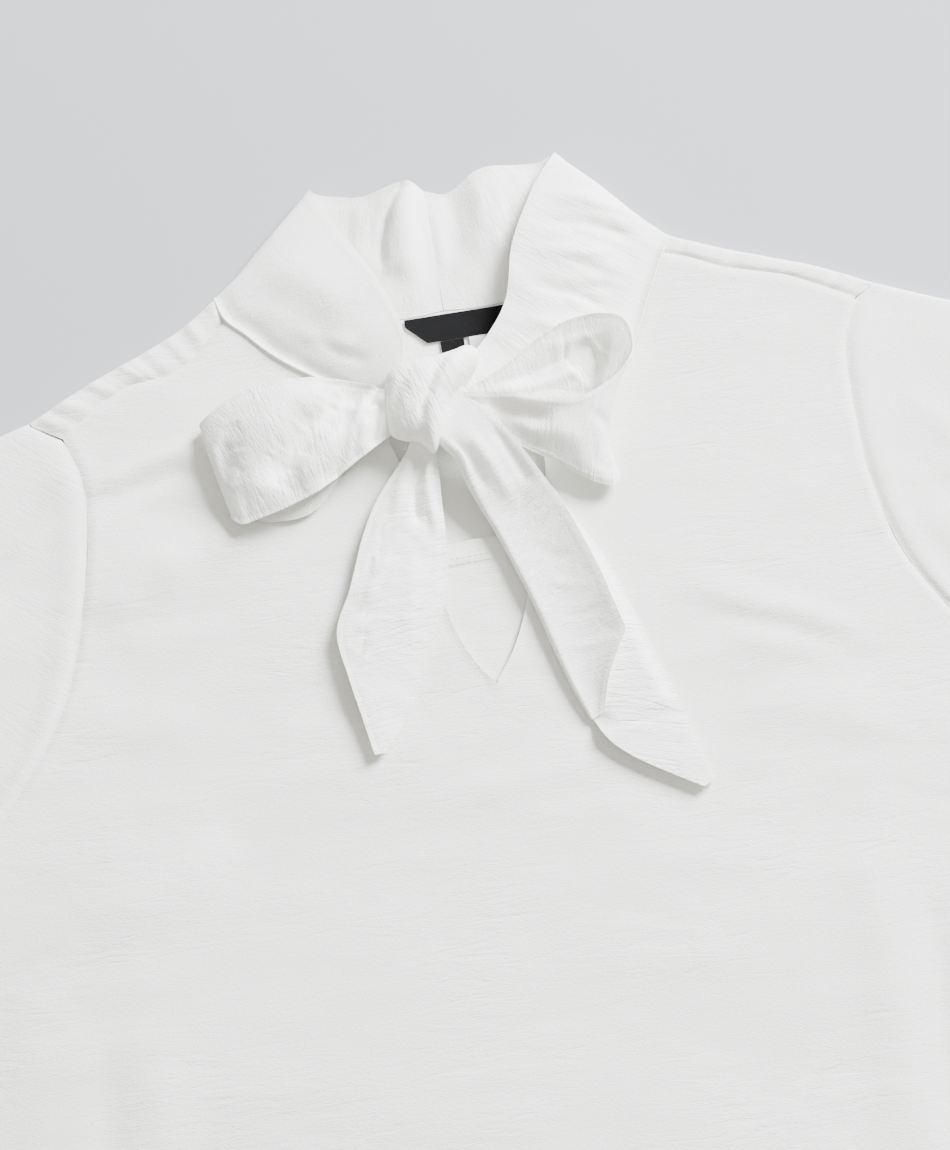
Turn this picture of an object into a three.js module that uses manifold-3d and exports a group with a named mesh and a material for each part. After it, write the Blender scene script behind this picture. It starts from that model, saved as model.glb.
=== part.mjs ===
import * as THREE from 'three';
import { mergeVertices } from 'three/addons/utils/BufferGeometryUtils.js';
import Module from 'manifold-3d';

// A crepe blouse with a band collar tied in a bow, laid flat with its front up.
// Millimetres: X across the shoulders, Y towards the collar, Z up from the surface.
// Left and right are as seen from above. Plan points are measured from the middle of the
// line between the shoulder tips, and the garment is centred on its own box at the end.

const wasm = await Module();
wasm.setup();

// Cloth and its layers
const cloth = 1.2; // wall of every piece
const seam = 0.3; // clear space where pieces are sewn or lie together
const layer = cloth + seam; // from the middle of one wall to the next above it
const backMid = cloth / 2; // middle of the back's wall, resting on the surface
const frontLow = backMid + layer; // middle of the front's wall where it lies on the back
const frontHigh = 4.6; // middle of the front's wall along neck, shoulders and armholes
const roll = (frontHigh - backMid) / 2; // radius of the turned edges
const neckGap = 0.5; // between the collar's foot and the necklines
const tipGap = 0.6; // kept from each end of a shoulder's turned edge

// Body
const underarm = { x: 252, y: -205 };
const hem = { x: 280, y: -600, rise: 12 };
const centreBack = { x: 2, y: 22 };
const slitFoot = { x: -3, y: -155 };

// Outlines of each half, from the neck outwards or from the top down
const halves = {
  left: {
    side: -1,
    shoulderEdge: [
      { x: -102, y: 44 }, { x: -118, y: 33 }, { x: -135, y: 25 }, { x: -165, y: 13 }, { x: -194, y: -1 },
    ],
    shoulderSeam: [
      { x: -98, y: 33 }, { x: -107, y: 26 }, { x: -117, y: 16 }, { x: -127, y: 11 }, { x: -146, y: 9 },
      { x: -162, y: 2 }, { x: -180, y: -11 },
    ],
    armhole: [
      { x: -180, y: -11 }, { x: -174, y: -31 }, { x: -174, y: -52 }, { x: -182, y: -94 },
      { x: -198, y: -138 }, { x: -224, y: -174 }, { x: -252, y: -205 },
    ],
    backNeck: [
      { x: 2, y: 22 }, { x: -16, y: 21 }, { x: -42, y: 24 }, { x: -72, y: 31 }, { x: -99, y: 42 },
    ],
    frontNeck: [
      { x: -33, y: -36 }, { x: -39, y: -19 }, { x: -49, y: -9 }, { x: -62, y: 0 }, { x: -78, y: 12 },
      { x: -92, y: 27 }, { x: -98, y: 33 },
    ],
    slit: [
      { x: -33, y: -36 }, { x: -29, y: -52 }, { x: -25, y: -85 }, { x: -20, y: -116 },
      { x: -16, y: -132 }, { x: -9, y: -147 }, { x: -3, y: -155 },
    ],
  },
  right: {
    side: 1,
    shoulderEdge: [
      { x: 111, y: 40 }, { x: 134, y: 30 }, { x: 155, y: 22 }, { x: 178, y: 13 }, { x: 200, y: 2 },
    ],
    shoulderSeam: [
      { x: 106, y: 32 }, { x: 118, y: 28 }, { x: 132, y: 21 }, { x: 148, y: 16 }, { x: 163, y: 11 },
      { x: 191, y: -4 },
    ],
    armhole: [
      { x: 191, y: -4 }, { x: 183, y: -22 }, { x: 180, y: -52 }, { x: 181, y: -90 },
      { x: 190, y: -128 }, { x: 206, y: -157 }, { x: 227, y: -183 }, { x: 252, y: -205 },
    ],
    backNeck: [
      { x: 2, y: 22 }, { x: 20, y: 21 }, { x: 46, y: 23 }, { x: 78, y: 29 }, { x: 107, y: 39 },
    ],
    frontNeck: [
      { x: 36, y: -45 }, { x: 52, y: -39 }, { x: 70, y: -28 }, { x: 82, y: -14 }, { x: 89, y: -2 },
      { x: 95, y: 11 }, { x: 103, y: 26 }, { x: 106, y: 32 },
    ],
    slit: [
      { x: 36, y: -45 }, { x: 35, y: -64 }, { x: 27, y: -95 }, { x: 17, y: -120 },
      { x: 12, y: -132 }, { x: 6, y: -143 }, { x: -3, y: -155 },
    ],
  },
};

// Soft ridges (height above 0) and troughs of the front and sleeves, each along a line
const frontFolds = [
  { x1: 172, y1: -262, x2: 160, y2: -410, width: 15, height: -1.3 }, // below the right dart
  { x1: 146, y1: -240, x2: 136, y2: -390, width: 17, height: 1.8 },
  { x1: -206, y1: -238, x2: -124, y2: -200, width: 15, height: 1.6 }, // from the left dart's tip
  { x1: -182, y1: -280, x2: -200, y2: -430, width: 16, height: 1.7 },
  { x1: -166, y1: -36, x2: -90, y2: -34, width: 12, height: 1.3 }, // from the left armhole
  { x1: -170, y1: -78, x2: -96, y2: -84, width: 13, height: 1.2 },
  { x1: 174, y1: -84, x2: 92, y2: -110, width: 14, height: 1.1 }, // from the right armhole
  { x1: 196, y1: -160, x2: 84, y2: -136, width: 17, height: 1.6 },
  { x1: 176, y1: -204, x2: 96, y2: -182, width: 15, height: 1.2 },
  { x1: -60, y1: -218, x2: 40, y2: -208, width: 15, height: 1.2 }, // below the bow
  { x1: -100, y1: -330, x2: -60, y2: -590, width: 20, height: 1.5 }, // towards the hem
  { x1: 60, y1: -350, x2: 84, y2: -590, width: 22, height: 1.5 },
  { x1: -200, y1: -470, x2: -216, y2: -592, width: 18, height: 1.5 },
  { x1: 190, y1: -450, x2: 210, y2: -592, width: 18, height: 1.5 },
];
const darts = [
  { x1: -262, y1: -258, x2: -205, y2: -240, width: 6, height: -1 },
  { x1: 262, y1: -258, x2: 160, y2: -236, width: 6, height: -1 },
];
// Sleeve lines are for the right sleeve and are mirrored on the left
const sleeveFolds = [
  { x1: 200, y1: -40, x2: 276, y2: -96, width: 11, height: 1.6 },
  { x1: 196, y1: -84, x2: 282, y2: -156, width: 11, height: 1.5 },
  { x1: 214, y1: -132, x2: 300, y2: -200, width: 10, height: 1.2 },
  { x1: 252, y1: -34, x2: 340, y2: -76, width: 12, height: 1.2 },
  { x1: 372, y1: -262, x2: 452, y2: -330, width: 14, height: 1.5 },
  { x1: 400, y1: -336, x2: 470, y2: -300, width: 13, height: 1.2 },
  { x1: 470, y1: -390, x2: 548, y2: -470, width: 14, height: 1.3 },
];
// The right sleeve's turned edges, mirrored for the left one; each starts at its armhole
const sleeveTop = [
  { x: 235, y: -13 }, { x: 290, y: -33 }, { x: 350, y: -63 }, { x: 400, y: -100 },
  { x: 440, y: -148 }, { x: 530, y: -300 }, { x: 616, y: -445 },
];
const sleeveUnder = [
  { x: 286, y: -222 }, { x: 322, y: -260 }, { x: 400, y: -360 }, { x: 523, y: -518 },
];

// Collar halves from the centre back, round the turned side and down to the knot. At each
// step the foot follows the neck seam, and t is the free edge, with the arch between them.
const collarTops = {
  left: [
    { at: 0, tx: 1.8, ty: 80, tz: 4, arch: 0.5 },
    { at: 1, tx: -6, ty: 85, tz: 9, arch: 2 },
    { at: 3, tx: -26, ty: 82, tz: 4, arch: 1 },
    { at: 5, tx: -40, ty: 85, tz: 2.2, arch: 0 },
    { at: 6, tx: -46, ty: 86.5, tz: 2.2, arch: 0 },
    { at: 7, tx: -49.5, ty: 88.6, tz: 3.2, arch: 0 },
    { at: 8, tx: -50.6, ty: 89, tz: 5.6, arch: 0.2 },
    { at: 9, tx: -49.4, ty: 86.8, tz: 7.8, arch: 0.8 },
    { at: 10, tx: -46, ty: 78, tz: 9.2, arch: 2 },
    { at: 11, tx: -40, ty: 66, tz: 11, arch: 3 },
    { at: 13, tx: -28, ty: 42, tz: 14, arch: 3 },
    { at: 15, tx: -20, ty: 20, tz: 15, arch: 2.4 },
    { at: 17, tx: -18.5, ty: 5, tz: 15, arch: 1.8 },
    { at: 19, tx: -23, ty: -8, tz: 15, arch: 1 },
  ],
  right: [
    { at: 0, tx: 2.2, ty: 80, tz: 4, arch: 0.5 },
    { at: 1, tx: 12, ty: 77.5, tz: 3, arch: 1 },
    { at: 3, tx: 30, ty: 86, tz: 6, arch: 2 },
    { at: 5, tx: 48, ty: 86, tz: 3, arch: 0.5 },
    { at: 6, tx: 58, ty: 86, tz: 2.4, arch: 0 },
    { at: 7, tx: 63.6, ty: 88, tz: 3.4, arch: 0 },
    { at: 8, tx: 65.4, ty: 88.4, tz: 5.8, arch: 0.2 },
    { at: 9, tx: 63.8, ty: 86, tz: 8, arch: 0.8 },
    { at: 10, tx: 58, ty: 79, tz: 9.6, arch: 2 },
    { at: 11, tx: 51.5, ty: 70, tz: 11.4, arch: 2.6 },
    { at: 13, tx: 38, ty: 45, tz: 13.4, arch: 2.6 },
    { at: 15, tx: 31, ty: 20, tz: 13.6, arch: 1.6 },
    { at: 17, tx: 22, ty: 6, tz: 13, arch: 0.8 },
    { at: 19, tx: 9, ty: -9, tz: 13, arch: 0.4 },
  ],
};
// Where each collar's foot leaves the front neckline and climbs into the knot
const collarEnds = {
  left: [{ x: -42, y: -13, z: 6.3 }, { x: -36, y: -17, z: 8.4 }, { x: -24, y: -20, z: 10.5 }],
  right: [{ x: 50, y: -35, z: 6 }, { x: 34, y: -32, z: 8.6 }, { x: 8, y: -26, z: 11 }],
};

// The bow. In each row a is the band's upper edge in plan and b the lower one.
const leftLoop = [
  { ax: -24, ay: -20, az: 18, bx: -26, by: -34, bz: 16, arch: 0, pull: 0 },
  { ax: -41, ay: -11, az: 20, bx: -46, by: -50, bz: 17, arch: 3, pull: 0 },
  { ax: -58, ay: -7, az: 21.5, bx: -70, by: -64, bz: 17, arch: 5, pull: 0 },
  { ax: -78, ay: -5, az: 21, bx: -88, by: -65, bz: 16, arch: 6, pull: 0 },
  { ax: -96, ay: -7, az: 19, bx: -98, by: -66, bz: 14, arch: 5, pull: 0 },
  { ax: -110, ay: -13, az: 16, bx: -104, by: -66, bz: 12, arch: 3, pull: 0 },
  { ax: -117, ay: -17, az: 12, bx: -108, by: -62, bz: 10, arch: 1.4, pull: -1 },
  { ax: -112, ay: -15, az: 8.6, bx: -104, by: -60, bz: 8, arch: 0, pull: 0 },
  { ax: -96, ay: -12, az: 8, bx: -94, by: -56, bz: 7.4, arch: 0, pull: 0 },
  { ax: -72, ay: -15, az: 9, bx: -74, by: -52, bz: 7.4, arch: 0, pull: 0 },
  { ax: -48, ay: -21, az: 10.5, bx: -50, by: -44, bz: 8.6, arch: 0, pull: 0 },
  { ax: -24, ay: -24, az: 12, bx: -26, by: -34, bz: 11, arch: 0, pull: 0 },
];
const rightLoop = [
  { ax: 4, ay: -24, az: 22, bx: 2, by: -34, bz: 19, arch: 0, pull: 0 },
  { ax: 24, ay: -28, az: 24, bx: 22, by: -49, bz: 17, arch: 0.6, pull: 0 },
  { ax: 39, ay: -33, az: 25, bx: 38, by: -60, bz: 15, arch: 1.5, pull: 0 },
  { ax: 53, ay: -36, az: 25.5, bx: 50, by: -69, bz: 13.4, arch: 2, pull: 0 },
  { ax: 68, ay: -31, az: 25, bx: 59, by: -74, bz: 12, arch: 1, pull: -2 },
  { ax: 79, ay: -23, az: 23.5, bx: 66, by: -75, bz: 10.6, arch: 0, pull: -6 },
  { ax: 84, ay: -13, az: 20.5, bx: 68, by: -69, bz: 8.6, arch: 0, pull: -8 },
  { ax: 82, ay: -1, az: 18.4, bx: 62, by: -62, bz: 7.6, arch: 0, pull: -6 },
  { ax: 72, ay: 4, az: 17.4, bx: 54, by: -57, bz: 7.4, arch: 0, pull: 0 },
  { ax: 56, ay: 3, az: 17, bx: 43, by: -52, bz: 7.6, arch: 0, pull: 0 },
  { ax: 41, ay: -3, az: 16.8, bx: 33, by: -45, bz: 8.4, arch: 0, pull: 0 },
  { ax: 25, ay: -13, az: 16.8, bx: 22, by: -38, bz: 10, arch: 0, pull: 0 },
  { ax: 4, ay: -22, az: 16.6, bx: 4, by: -30, bz: 12, arch: 0, pull: 0 },
];
const leftTail = [
  { ax: -21, ay: -34, az: 14, bx: -11, by: -36, bz: 14, arch: 0, pull: 0 },
  { ax: -25, ay: -44, az: 13, bx: -13, by: -48, bz: 13, arch: 1, pull: 0 },
  { ax: -32, ay: -52, az: 9.6, bx: -13, by: -57, bz: 10, arch: 1.6, pull: 0 },
  { ax: -43, ay: -65, az: 6.8, bx: -14, by: -71, bz: 8, arch: 1.6, pull: 0 },
  { ax: -52, ay: -81, az: 6.5, bx: -15, by: -87, bz: 7, arch: 1.6, pull: 0 },
  { ax: -61, ay: -103, az: 6.5, bx: -18, by: -109, bz: 6.8, arch: 1.8, pull: 0 },
  { ax: -70, ay: -122, az: 6.5, bx: -28, by: -131, bz: 6.6, arch: 1.6, pull: 0 },
  { ax: -68, ay: -143, az: 6.5, bx: -37, by: -150, bz: 6.5, arch: 1, pull: 0 },
  { ax: -65, ay: -161, az: 6.5, bx: -45, by: -164, bz: 6.5, arch: 0.6, pull: 0 },
  { ax: -62, ay: -179, az: 6.5, bx: -57, by: -179, bz: 6.5, arch: 0, pull: 0 },
];
// The right tail is folded lengthwise: l is the under layer's edge, f the fold and u the
// upper flap's edge, and gape is the height of the flap above the under layer.
const rightTail = [
  { lx: 2, ly: -22, fx: -5, fy: -26, ux: 6, uy: -26, z: 19, gape: 7 },
  { lx: 9, ly: -31, fx: -4, fy: -38, ux: 12, uy: -34, z: 17.6, gape: 7 },
  { lx: 20, ly: -44, fx: -4, fy: -50, ux: 21, uy: -46, z: 14, gape: 6 },
  { lx: 29, ly: -58, fx: -1, fy: -64, ux: 28, uy: -58, z: 10, gape: 5 },
  { lx: 36, ly: -70, fx: 4, fy: -78, ux: 35, uy: -70, z: 7.6, gape: 4 },
  { lx: 42, ly: -81, fx: 9, fy: -90, ux: 40, uy: -80, z: 6.6, gape: 3.6 },
  { lx: 56, ly: -109, fx: 18, fy: -118, ux: 50, uy: -110, z: 6.5, gape: 3.6 },
  { lx: 64, ly: -135, fx: 24, fy: -141, ux: 57, uy: -141, z: 6.5, gape: 3.6 },
  { lx: 70, ly: -155, fx: 30, fy: -163, ux: 47, uy: -161, z: 6.5, gape: 3.4 },
  { lx: 76, ly: -175, fx: 36, fy: -179, ux: 42, uy: -177, z: 6.5, gape: 3.2 },
];
const rightTailEnd = [
  { lx: 76, ly: -175, fx: 36, fy: -179, z: 6.5 },
  { lx: 79, ly: -188, fx: 43, fy: -191, z: 6.5 },
  { lx: 82, ly: -201, fx: 56, fy: -202, z: 6.5 },
  { lx: 86, ly: -214, fx: 80, fy: -217, z: 6.5 },
];
const knotSize = { x: -11, y: -26, z: 17.5, long: 25, wide: 17.5, high: 10.5, turn: 0.62 };
const knotRidge = { height: 0.035, across: 4, along: 3 }; // share of the radius, and turns
const knotSquare = 0.82; // 1 is round, and less is squarer
const knotGap = 0.4; // kept clear round the knot where the bands go into it

// Modesty panel under the slit, and the bare labels on the back's inside
const modesty = { x: 46, top: -88, foot: -196, drop: 1.6 }; // drop is below the front's wall
const label = { left: -17, right: 36, top: 20, depth: 12.5, corner: 9, thick: 1 };
const sizeTab = { left: -2, right: 9, depth: 12, thick: 1 };
const careTab = { left: 11.5, right: 19, depth: 9, thick: 1 };

const white = new THREE.MeshStandardMaterial({ color: 0xf1f2ee, roughness: 0.85, metalness: 0 });
const black = new THREE.MeshStandardMaterial({ color: 0x121214, roughness: 0.6, metalness: 0 });

// Curves, tables and grids

function point(row, z = 0) {
  return new THREE.Vector3(row.x, row.y, row.z ?? z);
}

// Evenly spaced points on the smooth curve through a table of plan points
function spread(rows, count, z = 0) {
  const curve = new THREE.CatmullRomCurve3(rows.map((row) => point(row, z)), false, 'centripetal');
  return curve.getSpacedPoints(count);
}

// Points moved sideways in plan, to the left of their direction where the distance is positive
function moved(points, distance) {
  return points.map((p, i) => {
    const before = points[Math.max(i - 1, 0)];
    const after = points[Math.min(i + 1, points.length - 1)];
    const run = new THREE.Vector3().subVectors(after, before).setZ(0).normalize();
    return new THREE.Vector3(p.x - run.y * distance, p.y + run.x * distance, p.z);
  });
}

// Values of a table's columns between its rows, on a smooth curve through them
function between(rows, at) {
  const places = rows.map((row, i) => row.at ?? i);
  let k = 0;
  while (k < rows.length - 2 && at > places[k + 1]) k += 1;
  const span = places[k + 1] - places[k];
  const t = (at - places[k]) / span;
  const result = {};
  for (const name of Object.keys(rows[0])) {
    const slope = (i) => {
      const a = Math.max(i - 1, 0);
      const b = Math.min(i + 1, rows.length - 1);
      return (rows[b][name] - rows[a][name]) / (places[b] - places[a]);
    };
    const h = t * t * (3 - 2 * t);
    const rise = t * (1 - t) * ((1 - t) * slope(k) - t * slope(k + 1)) * span;
    result[name] = rows[k][name] * (1 - h) + rows[k + 1][name] * h + rise;
  }
  return result;
}

// Grid between four edges, given as points: first and last rows, first and last columns
function spanned(top, bottom, start, end) {
  const rows = start.length - 1;
  const columns = top.length - 1;
  return start.map((s, i) => top.map((p, j) => {
    const v = i / rows;
    const u = j / columns;
    const q = new THREE.Vector3();
    q.addScaledVector(p, 1 - v).addScaledVector(bottom[j], v);
    q.addScaledVector(s, 1 - u).addScaledVector(end[i], u);
    q.addScaledVector(top[0], -(1 - u) * (1 - v)).addScaledVector(top[columns], -u * (1 - v));
    q.addScaledVector(bottom[0], -(1 - u) * v).addScaledVector(bottom[columns], -u * v);
    return q;
  }));
}

// Closed wall of cloth round the middle surface given by one or more grids of points. Grids
// that share points are sewn into one, and open edges are closed by the wall's thickness.
function wall(grids, thickness = cloth) {
  const points = [];
  const index = new Map();
  const add = (p) => {
    const key = [p.x, p.y, p.z].map((value) => Math.round(value * 500)).join();
    if (!index.has(key)) {
      index.set(key, points.length);
      points.push(p);
    }
    return index.get(key);
  };
  const faces = [];
  for (const grid of grids) {
    const ids = grid.map((row) => row.map(add));
    for (let i = 0; i + 1 < ids.length; i += 1) {
      for (let j = 0; j + 1 < ids[i].length; j += 1) {
        faces.push([ids[i][j], ids[i + 1][j], ids[i + 1][j + 1]]);
        faces.push([ids[i][j], ids[i + 1][j + 1], ids[i][j + 1]]);
      }
    }
  }
  return closed(points, faces.filter(([a, b, c]) => a !== b && b !== c && c !== a), thickness);
}

function closed(points, faces, thickness) {
  const normals = points.map(() => new THREE.Vector3());
  const once = new Set();
  for (const [a, b, c] of faces) {
    const one = new THREE.Vector3().subVectors(points[b], points[a]);
    const two = new THREE.Vector3().subVectors(points[c], points[a]);
    const normal = one.cross(two);
    for (const id of [a, b, c]) normals[id].add(normal);
    for (const [s, e] of [[a, b], [b, c], [c, a]]) {
      if (!once.delete(`${e},${s}`)) once.add(`${s},${e}`);
    }
  }
  normals.forEach((normal) => normal.normalize());
  const count = points.length;
  const half = thickness / 2;
  const above = points.map((p, i) => p.clone().addScaledVector(normals[i], half));
  const below = points.map((p, i) => p.clone().addScaledVector(normals[i], -half));
  const triangles = [];
  for (const [a, b, c] of faces) {
    triangles.push([a, b, c], [a + count, c + count, b + count]);
  }
  for (const edge of once) {
    const [a, b] = edge.split(',').map(Number);
    triangles.push([a, a + count, b + count], [a, b + count, b]);
  }
  const geometry = new THREE.BufferGeometry();
  const values = [...above, ...below].flatMap((p) => [p.x, p.y, p.z]);
  geometry.setAttribute('position', new THREE.Float32BufferAttribute(values, 3));
  geometry.setIndex(triangles.flat());
  return geometry;
}

// Solids for cutting one piece clear of another
function solid(geometry) {
  const bare = geometry.clone();
  bare.deleteAttribute('normal');
  bare.deleteAttribute('uv');
  const merged = mergeVertices(bare, 1e-4);
  const vertProperties = new Float32Array(merged.attributes.position.array);
  const triVerts = new Uint32Array(merged.index.array);
  return new wasm.Manifold(new wasm.Mesh({ numProp: 3, vertProperties, triVerts }));
}

function cutClear(geometry, tool) {
  const mesh = solid(geometry).subtract(solid(tool)).getMesh();
  const result = new THREE.BufferGeometry();
  result.setAttribute('position', new THREE.Float32BufferAttribute(mesh.vertProperties, 3));
  result.setIndex(Array.from(mesh.triVerts));
  return result;
}

function smooth(value) {
  const t = THREE.MathUtils.clamp(value, 0, 1);
  return t * t * (3 - 2 * t);
}

// Height given by soft folds at a plan point
function folded(folds, x, y) {
  let height = 0;
  for (const fold of folds) {
    const dx = fold.x2 - fold.x1;
    const dy = fold.y2 - fold.y1;
    const length = Math.hypot(dx, dy);
    const along = ((x - fold.x1) * dx + (y - fold.y1) * dy) / (length * length);
    const across = ((x - fold.x1) * dy - (y - fold.y1) * dx) / length;
    const ends = smooth((along + 0.25) / 0.4) * smooth((1.25 - along) / 0.4);
    height += fold.height * Math.exp(-((across / fold.width) ** 2)) * ends;
  }
  return height;
}

// Body

function sideAt(y) {
  return THREE.MathUtils.mapLinear(y, underarm.y, hem.y, underarm.x, hem.x);
}

const sideEase = 34; // width over which the front settles onto the back at the side seam
const sideRun = 80; // length below the underarm over which the side seam comes down
const frontCentre = 4; // middle of the front's wall down its middle
const centreEase = { y: -60, run: 120 }; // where the front comes down from the neck to that

// Middle of the front's wall at a plan point
function frontAt(x, y) {
  const below = smooth((underarm.y - y) / sideRun);
  const sunk = smooth((centreEase.y - y) / centreEase.run);
  const middle = THREE.MathUtils.lerp(frontHigh, frontCentre, sunk);
  const edge = THREE.MathUtils.lerp(frontHigh, frontLow, below);
  const near = smooth((Math.abs(x) - sideAt(Math.min(y, underarm.y)) + sideEase) / sideEase);
  const base = THREE.MathUtils.lerp(middle, edge, near);
  const folds = folded(frontFolds, x, y) + folded(darts, x, y);
  return Math.max(base + folds * (1 - near), frontLow);
}

const neckSteps = 8;
const shoulderSteps = 5;
const slitSteps = 10;
const chestSteps = 2;
const armSteps = slitSteps + chestSteps;
const lowerRows = [
  underarm.y, -222, -234, -242, -250, -258, -270, -290, -320, -360, -405, -455, -505, -552, hem.y,
];

function centreLine(y1, y2, count) {
  return spread([{ x: slitFoot.x, y: y1 }, { x: 0, y: y2 }], count);
}

// Body below the chest line: one half, from the middle out to the side seam
function lowerGrid(side, rows, columns, heightAt) {
  return rows.map((level) => Array.from({ length: columns + 1 }, (unused, j) => {
    const part = j / columns;
    const drop = (level - underarm.y) / (hem.y - underarm.y);
    const y = level + hem.rise * drop * part * part;
    const x = side * part * sideAt(y);
    return new THREE.Vector3(x, y, heightAt(x, y));
  }));
}

function chestLine(side, columns) {
  return Array.from({ length: columns + 1 }, (unused, j) => (
    new THREE.Vector3((side * underarm.x * j) / columns, underarm.y, 0)));
}

// Grids run the same way round on both sides, so that their faces point up
function faced(grid, side) {
  return side > 0 ? grid : grid.map((row) => [...row].reverse());
}

function raised(grid, heightAt) {
  return grid.map((row) => row.map((p) => new THREE.Vector3(p.x, p.y, heightAt(p.x, p.y))));
}

function frontHalf(half) {
  const neck = moved(spread(half.frontNeck, neckSteps), (-half.side * neckGap) / 2);
  const shoulder = moved(spread(half.shoulderSeam, shoulderSteps), (-half.side * seam) / 2);
  shoulder[0].copy(neck[neckSteps]);
  const top = [...neck, ...shoulder.slice(1)];
  const slit = spread(half.slit, slitSteps);
  slit[0].copy(neck[0]);
  const start = [...slit, ...centreLine(slitFoot.y, underarm.y, chestSteps).slice(1)];
  const end = spread(half.armhole, armSteps);
  end[0].copy(top[top.length - 1]);
  const upper = spanned(top, chestLine(half.side, neckSteps + shoulderSteps), start, end);
  const lower = lowerGrid(half.side, lowerRows, neckSteps + shoulderSteps, frontAt);
  return [faced(raised(upper, frontAt), half.side), faced(lower, half.side)];
}

// A shoulder's turned edge in plan, and the axis that the cloth turns round
function shoulderLines(half) {
  const edge = spread(half.shoulderEdge, shoulderSteps);
  const run = new THREE.Vector3().subVectors(edge[1], edge[0]).normalize();
  edge[0].addScaledVector(run, tipGap);
  return { edge, axis: moved(edge, -half.side * roll) };
}

const stripRise = 0.3; // how far the strip's middle stands above its seam

// The back reaches over each shoulder as a turned edge and a strip that ends at the seam
function backHalf(half) {
  const out = new THREE.Vector3();
  const { edge, axis } = shoulderLines(half);
  const neck = moved(spread(half.backNeck, neckSteps), (-half.side * neckGap) / 2);
  neck[0].setX(centreBack.x);
  neck[neckSteps].copy(axis[0]);
  const top = [...neck, ...axis.slice(1)];
  const centre = spread([{ x: centreBack.x, y: neck[0].y }, { x: 0, y: underarm.y }], armSteps + 1);
  const hole = [axis[shoulderSteps], ...spread(half.armhole, armSteps)];
  const columns = neckSteps + shoulderSteps;
  const flat = () => backMid;
  const upper = raised(spanned(top, chestLine(half.side, columns), centre, hole), flat);
  const lowerLevels = lowerRows.filter((level, i) => i % 2 === 0);
  const lower = lowerGrid(half.side, lowerLevels, columns, flat);
  const seamLine = moved(spread(half.shoulderSeam, shoulderSteps), (half.side * seam) / 2);
  const strip = axis.map((p, j) => {
    out.subVectors(edge[j], p).normalize();
    const turned = [0, 0.25, 0.5, 0.75, 1].map((part) => {
      const angle = Math.PI * (part - 0.5);
      const q = p.clone().addScaledVector(out, roll * Math.cos(angle));
      return q.setZ(backMid + roll + roll * Math.sin(angle));
    });
    turned[0] = upper[0][neckSteps + j].clone();
    const end = seamLine[j].clone().setZ(frontHigh);
    const middle = turned[4].clone().lerp(end, 0.5).setZ(frontHigh + stripRise);
    return [...turned, middle, end];
  });
  return [faced(upper, half.side), faced(lower, half.side), faced(strip, half.side)];
}

// Sleeves: flat tubes, open at the armhole and the cuff

const sleeveRows = 12;
const sleeveColumns = armSteps + 1;
const armGap = 0.45; // from the armhole to the sleeve's end
const sleeveRise = 0.7; // how far the sleeve's top stands above its turned edges
const foldEase = 6; // folds fade out over one part in this many of the sleeve's width
const headEase = 5; // and the sleeve is level with the armhole over the first such part

function sleeveGrid(half) {
  const { side } = half;
  const mirrored = (rows) => rows.map((row) => ({ x: side * row.x, y: row.y }));
  const tip = half.shoulderEdge[half.shoulderEdge.length - 1];
  const { axis } = shoulderLines(half);
  const start = moved([axis[shoulderSteps], ...spread(half.armhole, armSteps)], side * armGap);
  const inward = start[armSteps].clone().sub(start[sleeveColumns]).setLength(roll + 2 * armGap);
  start[sleeveColumns].add(inward);
  const upperLine = spread([tip, ...mirrored(sleeveTop)], sleeveRows);
  const underLine = spread([{ x: side * underarm.x, y: underarm.y }, ...mirrored(sleeveUnder)], sleeveRows);
  const upperEdge = moved(upperLine, -side * roll);
  const underEdge = moved(underLine, side * roll);
  upperEdge[0].copy(start[0]);
  underEdge[0].copy(start[sleeveColumns]);
  const cuff = spread([upperEdge[sleeveRows], underEdge[sleeveRows]], sleeveColumns);
  return { upperLine, upperEdge, grid: spanned(start, cuff, upperEdge, underEdge) };
}

function sleeveAt(side, x, y, part, along) {
  const swell = sleeveRise * Math.sin(Math.PI * part);
  const fade = smooth(part * foldEase) * smooth((1 - part) * foldEase);
  const folds = folded(sleeveFolds, side * x, y) * fade;
  return frontHigh + (swell + folds) * smooth(along * headEase);
}

function sleeve(half) {
  const { upperLine, upperEdge, grid } = sleeveGrid(half);
  const turn = [0.25, 0.5, 0.75];
  const rings = grid.map((row, i) => {
    const along = i / sleeveRows;
    const top = row.map((p, j) => (
      p.clone().setZ(sleeveAt(half.side, p.x, p.y, j / sleeveColumns, along))));
    const bottom = row.map((p) => p.clone().setZ(backMid)).reverse();
    const bend = (p, direction, rising) => turn.map((part) => {
      const out = direction.clone().setZ(0).normalize();
      const angle = Math.PI * (rising ? part - 0.5 : 0.5 - part);
      const q = p.clone().addScaledVector(out, roll * Math.cos(angle));
      return q.setZ(backMid + roll + roll * Math.sin(angle));
    });
    const last = row.length - 1;
    const under = bend(row[last], row[last].clone().sub(row[last - 1]), false);
    const nextUp = Math.max(i, 1);
    const over = bend(row[0], upperLine[nextUp].clone().sub(upperEdge[nextUp]), true);
    const ring = [...top, ...under, ...bottom, ...over, top[0].clone()];
    return half.side > 0 ? ring : ring.reverse();
  });
  return wall([rings]);
}

// Collar halves

const footRows = 7; // steps along the back neckline, then round the turn
const turnRows = [0.3, 0.5, 0.7];
const frontRows = 6; // points of the front neckline that the collar is sewn to
const collarColumns = 7;

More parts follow.
